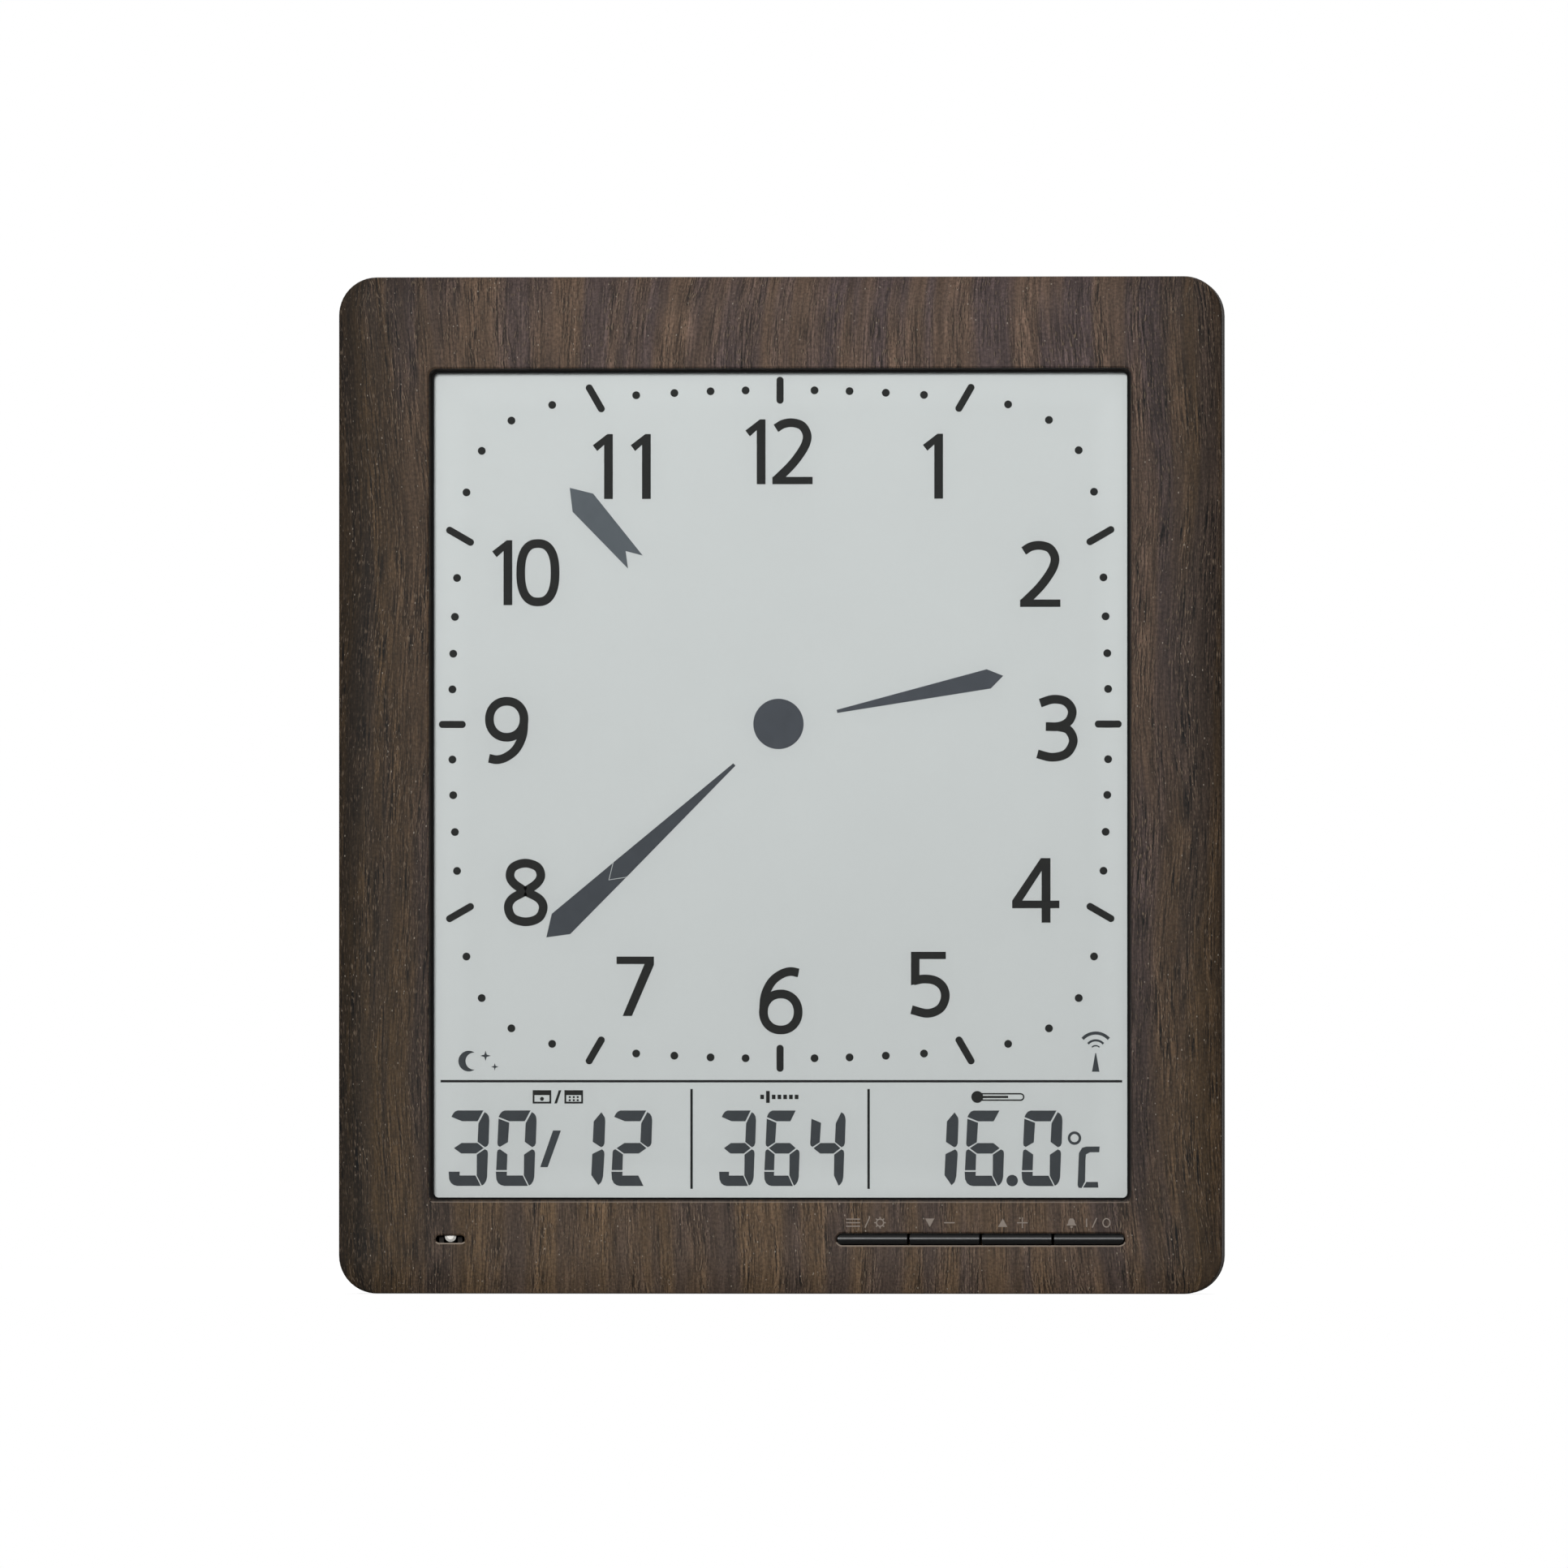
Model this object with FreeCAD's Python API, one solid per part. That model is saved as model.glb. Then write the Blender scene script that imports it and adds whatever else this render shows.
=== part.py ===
import FreeCAD, Part
import math
import os

# Wall clock with calendar: a liquid-crystal dial behind a clear window, in a moulded frame
# with a moulded back, four front keys, two cells, a keyhole hanger and a fold-out leg.
# Millimetres. +X is to the right seen from the front, +Z is up, the front looks along -Y.
# The origin is the centre of the back face, on the plane of the wall.

os.makedirs("parts", exist_ok=True)

# Display and front frame
display_width = 157.0
display_height = 186.5
display_corner = 1.1
stile_width = 21.5
rail_height = 21.75
case_corner = 8.6
front_roll_width = 8.4
front_roll_drop = 1.8
front_edge_rounding = 0.7
frame_wall = 2.2
bevel_width = 0.95
bevel_edge_break = 0.35
slot_edge_break = 0.35
gasket_show = 0.45
gasket_thickness = 0.5
opening_corner = 2.0

# Window and display cell, from the front backwards
window_margin = 4.0
window_thickness = 1.4
window_clearance = 0.15
dial_room = 0.1
polarizer_margin = 2.0
polarizer_thickness = 0.2
glass_margin = 2.95
glass_thickness = 1.1
contact_ledge = 2.2
reflector_thickness = 0.3
locating_rib = 1.2
locating_rise = 3.0
web_thickness = 1.0
webs_per_stile = 4

# Display holder, and the posts of the cover that press on it
holder_wall = 1.5
holder_clearance = 0.15
press_post_inset = 3.5
press_post_rise = 62.0
press_post_reach = 2.5
press_post_wall = 1.2

# Main board
board_thickness = 1.6
board_height = 50.0
board_margin = 3.0
board_drop = 0.5
standoff_height = 2.1
standoff_side = 5.0
standoff_inset = 5.0
standoff_rise = 9.0
hook_width = 7.0
hook_wall = 1.2
hook_bite = 1.0
hook_clearance = 0.1
board_hook_x = 45.0
zebra_inset = 5.5
zebra_thickness = 1.8
zebra_side_gap = 0.2
chip_drop_radius = 4.5
chip_drop_height = 1.6
crystal_radius = 1.5
crystal_length = 8.0
crystal_seat = 0.05
capacitor_radius = 2.0
capacitor_height = 5.0
small_part_length = 2.0
small_part_width = 1.25
small_part_height = 0.9
small_part_pitch = 3.2
small_part_count = 6

# Small board screws, all alike
small_shank_radius = 1.1
small_head_radius = 2.0
small_head_height = 1.3
small_screw_length = 4.2
screw_hole_clearance = 0.03
passing_clearance = 0.2
pilot_spare = 0.3

# Front keys in their slot
key_slot_length = 65.3
key_slot_height = 2.75
key_slot_inset = 0.4
key_slot_drop = 9.4
key_count = 4
key_gap = 0.65
key_side_clearance = 0.3
key_proud = 0.6
key_crown = 0.55
key_flange = 1.2
key_flange_spread = 1.5
key_stem_width = 5.0
key_stem_height = 3.6
key_stem_length = 2.3
key_travel = 0.4

# Tact switches and their board
plunger_side = 2.6
plunger_clearance = 0.1
plunger_proud = 0.8
plunger_hidden = 1.0
switch_side = 6.0
switch_height = 3.5
key_board_thickness = 1.2
key_board_reach = 4.0
key_board_rise = 3.0
key_board_fall = 8.6
ribbon_width = 8.0
ribbon_thickness = 0.5
ribbon_arch = 1.6

# Temperature sensor behind its slot
sensor_slot_length = 6.6
sensor_slot_height = 1.7
sensor_inset = 3.85
sensor_bead_radius = 1.3
sensor_bead_length = 2.2
sensor_bead_bevel = 0.6
sensor_bead_rise = 0.65
sensor_skin = 0.7
sensor_pocket_gap = 0.18
sensor_seat = 0.1
cradle_thickness = 1.0
cradle_height = 3.4
cradle_depth = 2.8
cradle_clearance = 0.3
sensor_lead_side = 0.9

# Back cover
cover_depth = 10.0
cover_wall = 2.0
cover_step = 0.5
cover_straight = 2.0
cover_taper = 5.0
cover_edge_break = 0.8
lip_height = 3.0
lip_wall = 1.6
lip_clearance = 0.2

# Case screws and their bosses
boss_inset = 12.5
boss_side = 6.0
tower_wall = 1.2
case_head_radius = 2.8
case_head_height = 2.0
case_shank_radius = 1.45
case_screw_length = 11.0
head_clearance = 0.3
head_depth = 4.0
tower_floor = 1.8
cross_width = 0.8
cross_reach = 1.7
cross_depth = 0.9

# Cells and their compartment
cell_radius = 7.25
cell_length = 50.5
cell_nub_radius = 2.75
cell_nub_height = 1.3
cell_spacing = 0.8
cell_side_gap = 0.5
cell_floor_gap = 0.2
cell_door_gap = 0.8
spring_room = 4.5
well_wall = 1.5
well_gap = 0.6
well_rise = 5.0
contact_thickness = 0.4
contact_width = 10.0
contact_height = 11.0
tongue_width = 3.0
tongue_reach = 3.0
tongue_slot_gap = 0.2
spring_strip_width = 5.0

# Battery door
door_thickness = 2.0
door_ledge = 1.3
door_clearance = 0.25
door_corner = 1.5
door_tab_width = 7.0
door_tab_length = 2.0
door_tab_thickness = 1.3
door_tab_gap = 0.2
door_tab_offset = 18.0
door_latch_width = 13.0
door_latch_slit = 0.8
door_latch_length = 7.0
grip_count = 3
grip_pitch = 1.5
grip_height = 0.8
grip_depth = 0.5

# Keyhole hanger
keyhole_top_inset = 16.0
keyhole_radius = 4.5
keyhole_slot_width = 4.6
keyhole_rise = 9.0
cup_margin = 1.2
cup_depth = 6.5
cup_wall = 1.2

# Fold-out leg
leg_width = 60.0
leg_length = 72.0
leg_thickness = 3.0
leg_rib = 1.2
leg_sink = 0.3
leg_side_gap = 0.5
leg_floor_gap = 0.4
leg_tip_gap = 1.0
leg_corner = 6.0
leg_top = 1.8
leg_window_margin = 9.0
leg_pin_radius = 1.5
leg_pin_clearance = 0.06
leg_pin_length = 2.2
leg_pin_end_gap = 0.3
leg_pin_depth = 2.4
leg_stop_clearance = 0.05
leg_open_degrees = 32.0
recess_wall = 1.5
finger_notch_radius = 9.0
finger_notch_bite = 3.5

# Sound disc, vents, aerial and its board
sound_disc_radius = 10.0
sound_disc_thickness = 0.4
sound_rib_wall = 1.3
sound_rib_height = 1.5
sound_slot_length = 12.0
sound_slot_height = 1.4
sound_slot_pitch = 3.4
sound_slot_count = 4
sound_inset = 40.0
upper_row_drop = 53.0
vent_length = 14.0
vent_height = 1.6
vent_pitch = 4.0
vent_count = 5
vent_inset = 26.0
vent_rise = 24.0
rod_length = 60.0
rod_height = 9.0
rod_depth = 4.0
rod_seat_depth = 5.0
coil_length = 22.0
coil_wall = 1.5
coil_clearance = 0.05
clip_width = 4.0
clip_wall = 1.6
clip_offset = 24.0
receiver_width = 22.0
receiver_height = 14.0
receiver_thickness = 1.0
receiver_gap = 8.0
receiver_chip_side = 5.0
receiver_chip_height = 1.4
receiver_post_side = 3.6
receiver_post_height = 4.0
lead_side = 1.1
lead_bend = 2.5

# Sizes worked out from the ones above
case_width = display_width + 2 * stile_width
case_height = display_height + 2 * rail_height
opening_width = display_width + 2 * gasket_show
opening_height = display_height + 2 * gasket_show
window_width = display_width + 2 * window_margin
window_height = display_height + 2 * window_margin
glass_width = display_width + 2 * glass_margin
glass_height = display_height + 2 * glass_margin
well_length = spring_room + cell_length + contact_thickness
well_height = 4 * cell_radius + cell_spacing + 2 * cell_side_gap
well_depth = door_thickness + cell_door_gap + 2 * cell_radius + cell_floor_gap
stack_depth = (frame_wall + gasket_thickness + window_thickness + dial_room + polarizer_thickness
               + 2 * glass_thickness + reflector_thickness + holder_wall)
case_depth = stack_depth + well_gap + well_wall + well_depth

# Planes along Y, from the front backwards
front_y = -case_depth
wall_back_y = front_y + frame_wall
window_front_y = wall_back_y + gasket_thickness
window_back_y = window_front_y + window_thickness
polarizer_y = window_back_y + dial_room
front_glass_y = polarizer_y + polarizer_thickness
rear_glass_y = front_glass_y + glass_thickness
reflector_y = rear_glass_y + glass_thickness
holder_y = reflector_y + reflector_thickness
holder_back_y = holder_y + holder_wall
board_y = holder_back_y + standoff_height
board_back_y = board_y + board_thickness
frame_back_y = -cover_depth
skin_y = -cover_wall
key_flange_back_y = wall_back_y + key_flange
key_stem_back_y = key_flange_back_y + key_stem_length
switch_y = key_stem_back_y + plunger_proud
key_board_y = switch_y + switch_height
key_board_back_y = key_board_y + key_board_thickness
tower_y = -head_depth - case_head_height - tower_floor
screw_seat_y = tower_y + tower_floor

# Places seen from the front
boss_x = case_width / 2 - boss_inset
boss_z = case_height / 2 - boss_inset
boss_places = [(side_x * boss_x, side_z * boss_z) for side_x in (-1, 1) for side_z in (-1, 1)]
press_post_places = [(side_x * (window_width / 2 - press_post_inset), side_z * press_post_rise)
                     for side_x in (-1, 1) for side_z in (-1, 1)]
zebra_length = display_width - 2 * zebra_inset
board_width = zebra_length + 2 * board_margin
board_bottom = -glass_height / 2 - board_drop
board_middle = board_bottom + board_height / 2
board_top = board_bottom + board_height
zebra_z = -glass_height / 2 + contact_ledge / 2
standoff_places = [(side_x * (board_width / 2 - standoff_inset), board_bottom + standoff_rise)
                   for side_x in (-1, 1)]
key_slot_x = display_width / 2 - key_slot_inset - key_slot_length / 2
key_slot_z = -display_height / 2 - key_slot_drop
key_length = (key_slot_length - 2 * key_side_clearance - (key_count - 1) * key_gap) / key_count
key_height = key_slot_height - 2 * key_side_clearance
key_pitch = key_length + key_gap
key_names = ["mode", "down", "up", "alarm"]
key_places = [key_slot_x + (order - (key_count - 1) / 2) * key_pitch for order in range(key_count)]
key_board_length = key_slot_length + 2 * key_board_reach
key_board_height = key_board_rise + key_board_fall
key_board_z = key_slot_z + (key_board_rise - key_board_fall) / 2
sensor_x = -display_width / 2 + sensor_inset
sensor_z = key_slot_z
bead_y = front_y + sensor_skin + sensor_seat
bead_back_y = bead_y + sensor_bead_length
bead_z = sensor_z + sensor_bead_rise
well_z = well_rise + well_height / 2
door_length = well_length + 2 * door_ledge
door_height = well_height + 2 * door_ledge
door_low_z = well_z - door_height / 2
cell_y = -door_thickness - cell_door_gap - cell_radius
cell_offset = cell_radius + cell_spacing / 2
keyhole_z = case_height / 2 - keyhole_top_inset - keyhole_rise
slot_top_z = keyhole_z + keyhole_rise + keyhole_slot_width / 2
upper_row_z = case_height / 2 - upper_row_drop
sound_x = case_width / 2 - sound_inset
vent_x = case_width / 2 - vent_inset
leg_outer_y = -leg_sink
leg_inner_y = leg_outer_y - leg_thickness
recess_depth = leg_sink + leg_thickness + leg_rib + leg_floor_gap
recess_width = leg_width + 2 * leg_side_gap
leg_tip_z = -case_height / 2 + cover_step + cover_taper + leg_tip_gap
leg_pivot_z = leg_tip_z + leg_length
leg_pivot_y = -leg_pin_depth
leg_stop_arm = leg_outer_y - leg_pivot_y
recess_top_z = (leg_pivot_z + leg_stop_arm * math.sin(math.radians(leg_open_degrees))
                + leg_top * math.cos(math.radians(leg_open_degrees)) + leg_stop_clearance)
receiver_x = -rod_length / 2 - receiver_gap - receiver_width / 2
rod_y = skin_y - rod_seat_depth
coil_depth = rod_depth + 2 * (coil_wall + coil_clearance)
receiver_y = skin_y - receiver_post_height - receiver_thickness


def point(x, y, z):
    return FreeCAD.Vector(x, y, z)


def rounded_outline(width, height, corner, y, x=0.0, z=0.0):
    """Closed outline of a rounded rectangle, standing in the plane at y."""
    arcs = []
    for quarter in range(4):
        side_x = 1 if quarter in (0, 3) else -1
        side_z = 1 if quarter < 2 else -1
        corner_x = x + side_x * (width / 2 - corner)
        corner_z = z + side_z * (height / 2 - corner)
        arc = []
        for half_step in range(3):
            angle = math.radians(90 * quarter + 45 * half_step)
            arc.append(point(corner_x + corner * math.cos(angle), y, corner_z + corner * math.sin(angle)))
        arcs.append(arc)
    edges = []
    for order, arc in enumerate(arcs):
        edges.append(Part.Arc(*arc).toShape())
        following = arcs[(order + 1) % 4][0]
        if arc[2].distanceToPoint(following) > 1e-6:
            edges.append(Part.makeLine(arc[2], following))
    return Part.Wire(edges)


def plate(width, height, corner, y_from, y_to, x=0.0, z=0.0):
    """Plate with rounded corners between two planes along Y."""
    face = Part.Face(rounded_outline(width, height, corner, y_from, x, z))
    return face.extrude(point(0, y_to - y_from, 0))


def slab(width, height, y_from, y_to, x=0.0, z=0.0):
    """Plate with square corners between two planes along Y."""
    return Part.makeBox(width, y_to - y_from, height, point(x - width / 2, y_from, z - height / 2))


def rod_along_y(radius, x, z, y_from, y_to):
    return Part.makeCylinder(radius, y_to - y_from, point(x, y_from, z), point(0, 1, 0))


def rod_along_x(radius, x_from, x_to, y, z):
    return Part.makeCylinder(radius, x_to - x_from, point(x_from, y, z), point(1, 0, 0))


def joined(shapes):
    whole = shapes[0].fuse(shapes[1:])
    return whole.removeSplitter()


def edges_where(shape, test):
    return [edge for edge in shape.Edges if test(edge.BoundBox)]


def lead(corners, side, bend):
    """Insulated lead of square section; a short slanting run cuts each corner of its route."""
    route = [corners[0]]
    for before, turn, after in zip(corners, corners[1:], corners[2:]):
        route.append(turn + (before - turn).normalize() * bend)
        route.append(turn + (after - turn).normalize() * bend)
    route.append(corners[-1])
    runs = [Part.makeLine(start, end) for start, end in zip(route, route[1:])]
    along = (corners[1] - corners[0]).normalize()
    across = along.cross(corners[2] - corners[1]).normalize() * (side / 2)
    over = along.cross(across)
    ring = [corners[0] + across + over, corners[0] - across + over,
            corners[0] - across - over, corners[0] + across - over]
    section = Part.makePolygon(ring + [ring[0]])
    mitred = 1
    return Part.Wire(runs).makePipeShell([section], True, False, mitred)


def export(shape, node):
    shape.exportStep("parts/" + node + ".step")


# The front frame: one moulded shell, with the bevelled display opening and the two slots
def roll_section(corner_x, corner_z, degrees):
    """Section of what the soft roll of the front takes off, turned about the centre of a corner."""
    radius = (front_roll_width ** 2 + front_roll_drop ** 2) / (2 * front_roll_drop)
    half = math.asin(front_roll_width / radius) / 2
    inner = case_corner - front_roll_width
    outer = case_corner + front_roll_drop
    start = point(inner, front_y, 0)
    middle = point(inner + radius * math.sin(half), front_y + radius * (1 - math.cos(half)), 0)
    end = point(case_corner, front_y + front_roll_drop, 0)
    beyond = [end, point(outer, front_y + front_roll_drop, 0), point(outer, front_y - front_roll_drop, 0),
              point(inner, front_y - front_roll_drop, 0), start]
    face = Part.Face(Part.Wire([Part.Arc(start, middle, end).toShape()] + Part.makePolygon(beyond).Edges))
    face.rotate(point(0, 0, 0), point(0, -1, 0), degrees)
    face.translate(point(corner_x, 0, corner_z))
    return face


def front_roll():
    """The stretches and corners that the roll takes off, once round the front edge."""
    pieces = []
    for quarter in range(4):
        corner_x = (1 if quarter in (0, 3) else -1) * (case_width / 2 - case_corner)
        corner_z = (1 if quarter < 2 else -1) * (case_height / 2 - case_corner)
        at_corner = roll_section(corner_x, corner_z, 90 * quarter)
        pieces.append(at_corner.revolve(point(corner_x, 0, corner_z), point(0, -1, 0), 90))
        run = (case_height if quarter % 2 else case_width) - 2 * case_corner
        along = math.radians(90 * (quarter + 1))
        at_run = roll_section(corner_x, corner_z, 90 * (quarter + 1))
        pieces.append(at_run.extrude(point(-run * math.sin(along), 0, run * math.cos(along))))
    return pieces


def frame_shell():
    inner_width = case_width - 2 * frame_wall
    inner_height = case_height - 2 * frame_wall
    shell = plate(case_width, case_height, case_corner, front_y, frame_back_y).cut(front_roll())
    roll_end = front_y + front_roll_drop
    outer_edges = edges_where(shell, lambda b: abs(b.YMin - roll_end) < 1e-3 and abs(b.YMax - roll_end) < 1e-3)
    shell = shell.makeFillet(front_edge_rounding, outer_edges)
    hollow = plate(inner_width, inner_height, case_corner - frame_wall, wall_back_y, frame_back_y)
    return shell.cut(hollow)


def bevelled_opening():
    """Steep bevel down to the gasket, with a narrow break of its front edge."""
    break_y = front_y + bevel_edge_break
    front = rounded_outline(opening_width + 2 * bevel_width, opening_height + 2 * bevel_width,
                            opening_corner, front_y)
    step_width = bevel_width - bevel_edge_break
    step = rounded_outline(opening_width + 2 * step_width, opening_height + 2 * step_width,
                           opening_corner - bevel_edge_break / 2, break_y)
    back = rounded_outline(opening_width, opening_height, opening_corner - bevel_width / 2, wall_back_y)
    return [Part.makeLoft([front, step], True, True), Part.makeLoft([step, back], True, True)]


def round_ended_slot(length, height, x, z):
    """Slot through the wall with its front edge broken."""
    break_y = front_y + slot_edge_break
    wide = rounded_outline(length + 2 * slot_edge_break, height + 2 * slot_edge_break,
                           height / 2 + slot_edge_break, front_y, x, z)
    narrow = rounded_outline(length, height, height / 2, break_y, x, z)
    return [plate(length, height, height / 2, break_y, wall_back_y, x, z),
            Part.makeLoft([wide, narrow], True, True)]


def locating_ribs():
    """Rib that locates the window and the holder, with webs that tie it to the stiles."""
    inner_width = window_width + 2 * window_clearance
    inner_height = window_height + 2 * window_clearance
    outer_width = inner_width + 2 * locating_rib
    outer_height = inner_height + 2 * locating_rib
    rib_back_y = window_back_y + locating_rise
    ring = slab(outer_width, outer_height, wall_back_y, rib_back_y)
    ring = ring.cut(slab(inner_width, inner_height, wall_back_y, rib_back_y))
    web_length = case_width / 2 - frame_wall - outer_width / 2 + locating_rib
    ribs = [ring]
    for side in (-1, 1):
        x = side * (outer_width / 2 - locating_rib / 2 + web_length / 2)
        for order in range(webs_per_stile):
            z = (order - (webs_per_stile - 1) / 2) * window_height / webs_per_stile
            ribs.append(slab(web_length, web_thickness, wall_back_y, window_back_y, x, z))
    return ribs


def sensor_cradle():
    gap = sensor_bead_radius + cradle_clearance + cradle_thickness / 2
    return [slab(cradle_thickness, cradle_height, wall_back_y, wall_back_y + cradle_depth,
                 sensor_x + side * gap, bead_z) for side in (-1, 1)]


def key_board_hooks():
    """Hooked posts at both ends of the key board, which rests in their notches."""
    hooks = []
    for side in (-1, 1):
        end_x = key_slot_x + side * key_board_length / 2
        x = end_x + side * (hook_wall - hook_bite) / 2
        hooks.append(slab(hook_wall + hook_bite, hook_width, wall_back_y, key_board_back_y + hook_wall,
                          x, key_board_z))
    notch = slab(key_board_length + 2 * hook_clearance, key_board_height,
                 key_board_y, key_board_back_y + hook_clearance, key_slot_x, key_board_z)
    return [hook.cut(notch) for hook in hooks]


def front_frame():
    frame = frame_shell().cut(bevelled_opening())
    bosses = [slab(boss_side, boss_side, wall_back_y, tower_y, x, z) for x, z in boss_places]
    frame = joined([frame] + locating_ribs() + bosses + sensor_cradle() + key_board_hooks())
    slots = (round_ended_slot(key_slot_length, key_slot_height, key_slot_x, key_slot_z)
             + round_ended_slot(sensor_slot_length, sensor_slot_height, sensor_x, sensor_z))
    pilot_radius = case_shank_radius + screw_hole_clearance
    pilot_end_y = screw_seat_y - case_screw_length - pilot_spare
    pilots = [rod_along_y(pilot_radius, x, z, pilot_end_y, tower_y) for x, z in boss_places]
    pocket = rod_along_y(sensor_bead_radius + sensor_pocket_gap, sensor_x, bead_z,
                         front_y + sensor_skin, wall_back_y)
    return frame.cut(slots + pilots + [pocket])


# The display, from the foam gasket to the pale reflector
def display_gasket():
    outer = slab(window_width, window_height, wall_back_y, window_front_y)
    return outer.cut(plate(display_width, display_height, display_corner, wall_back_y, window_front_y))


def display_window():
    return slab(window_width, window_height, window_front_y, window_back_y)


def front_polarizer():
    return slab(display_width + 2 * polarizer_margin, display_height + 2 * polarizer_margin,
                polarizer_y, front_glass_y)


def front_glass():
    return slab(glass_width, glass_height, front_glass_y, rear_glass_y)


def rear_glass():
    return slab(glass_width, glass_height - contact_ledge, rear_glass_y, reflector_y, 0, contact_ledge / 2)


def reflector():
    return slab(display_width + polarizer_margin, display_height + polarizer_margin / 2,
                reflector_y, holder_y, 0, polarizer_margin / 4)


# The holder: a tray whose rim presses on the window and whose back plate carries the board
def display_holder():
    tray = slab(window_width, window_height, window_back_y, holder_back_y)
    nest = slab(glass_width + 2 * holder_clearance, glass_height + 2 * holder_clearance,
                window_back_y, holder_y)
    standoffs = [slab(standoff_side, standoff_side, holder_back_y, board_y, x, z) for x, z in standoff_places]
    hook_height = hook_wall + hook_bite
    hook_z = board_top + (hook_wall - hook_bite) / 2
    hooks = [slab(hook_width, hook_height, holder_back_y, board_back_y + hook_wall, side * board_hook_x, hook_z)
             for side in (-1, 1)]
    notch = slab(board_width, 2 * hook_bite, board_y, board_back_y + hook_clearance,
                 0, board_top - hook_bite + hook_clearance)
    tray = joined([tray.cut(nest)] + standoffs + hooks).cut(notch)
    slot = slab(zebra_length + 2 * zebra_side_gap, zebra_thickness + 2 * zebra_side_gap,
                holder_y, holder_back_y, 0, zebra_z)
    pilot_radius = small_shank_radius + screw_hole_clearance
    pilot_end_y = board_back_y - small_screw_length - pilot_spare
    pilots = [rod_along_y(pilot_radius, x, z, pilot_end_y, board_y) for x, z in standoff_places]
    return tray.cut([slot] + pilots)


def zebra_strip():
    return slab(zebra_length, zebra_thickness, rear_glass_y, board_y, 0, zebra_z)


# The main board and what is soldered on it
def main_board():
    board = slab(board_width, board_height, board_y, board_back_y, 0, board_middle)
    passing = small_shank_radius + passing_clearance
    return board.cut([rod_along_y(passing, x, z, board_y, board_back_y) for x, z in standoff_places])


def chip_drop():
    """Epoxy drop over the bonded chip."""
    return rod_along_y(chip_drop_radius, 0, board_middle, board_back_y, board_back_y + chip_drop_height)


def crystal():
    x = board_width / 4
    return rod_along_x(crystal_radius, x, x + crystal_length,
                       board_back_y + crystal_radius + crystal_seat, board_middle)


def small_components():
    """Row of resistors and capacitors on one side of the chip, a larger capacitor on the other."""
    pieces = []
    for order in range(small_part_count):
        x = -board_width / 4 - order * small_part_pitch
        pieces.append(slab(small_part_length, small_part_width, board_back_y,
                           board_back_y + small_part_height, x, board_middle))
    pieces.append(rod_along_y(capacitor_radius, board_width / 4, board_middle + 2 * capacitor_height,
                              board_back_y, board_back_y + capacitor_height))
    return Part.makeCompound(pieces)


# The keys, the switches behind them and their board
def key_cap(order):
    """Bar of the key with a crowned front; the outer ends of the row are round."""
    front = front_y - key_proud
    x = key_places[order] - key_length / 2
    low_z = key_slot_z - key_height / 2
    high_z = key_slot_z + key_height / 2
    low = point(x, front + key_crown, low_z)
    high = point(x, front + key_crown, high_z)
    crown = Part.Arc(low, point(x, front, key_slot_z), high).toShape()
    body = [high, point(x, key_flange_back_y, high_z), point(x, key_flange_back_y, low_z), low]
    cap = Part.Face(Part.Wire([crown] + Part.makePolygon(body).Edges)).extrude(point(key_length, 0, 0))
    if order in (0, key_count - 1):
        row_length = key_count * key_length + (key_count - 1) * key_gap
        cap = cap.common(plate(row_length, key_height, key_height / 2, front, key_flange_back_y,
                               key_slot_x, key_slot_z))
    return cap


def key(order):
    """Key cap with its flange behind the frame's wall and the stem that presses the switch."""
    x = key_places[order]
    flange = slab(key_length, key_height + 2 * key_flange_spread, wall_back_y, key_flange_back_y, x, key_slot_z)
    stem = slab(key_stem_width, key_stem_height, key_flange_back_y, key_stem_back_y, x, key_slot_z)
    return joined([key_cap(order), flange, stem])


def plunger(order):
    return slab(plunger_side, plunger_side, key_stem_back_y, switch_y + plunger_hidden,
                key_places[order], key_slot_z)


def switch_cases():
    mouth = plunger_side + 2 * plunger_clearance
    mouth_back_y = switch_y + plunger_hidden + 2 * key_travel
    cases = []
    for x in key_places:
        case = slab(switch_side, switch_side, switch_y, key_board_y, x, key_slot_z)
        cases.append(case.cut(slab(mouth, mouth, switch_y, mouth_back_y, x, key_slot_z)))
    return Part.makeCompound(cases)


def key_board():
    return slab(key_board_length, key_board_height, key_board_y, key_board_back_y, key_slot_x, key_board_z)


def key_ribbon():
    """Flat cable that arches from the key board to the main board."""
    edge_z = key_slot_z + key_board_rise
    run = [(key_board_back_y, key_slot_z), (key_board_back_y, edge_z - ribbon_arch),
           (key_board_back_y + ribbon_arch, edge_z), (board_back_y + ribbon_arch, board_bottom - ribbon_arch / 2),
           (board_back_y, board_bottom + ribbon_arch), (board_back_y, board_bottom + 3 * ribbon_arch)]
    near = [point(key_slot_x - ribbon_width / 2, y, z) for y, z in run]
    far = [point(key_slot_x - ribbon_width / 2, y + ribbon_thickness, z) for y, z in reversed(run)]
    face = Part.Face(Part.makePolygon(near + far + near[:1]))
    return face.extrude(point(ribbon_width, 0, 0))


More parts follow.
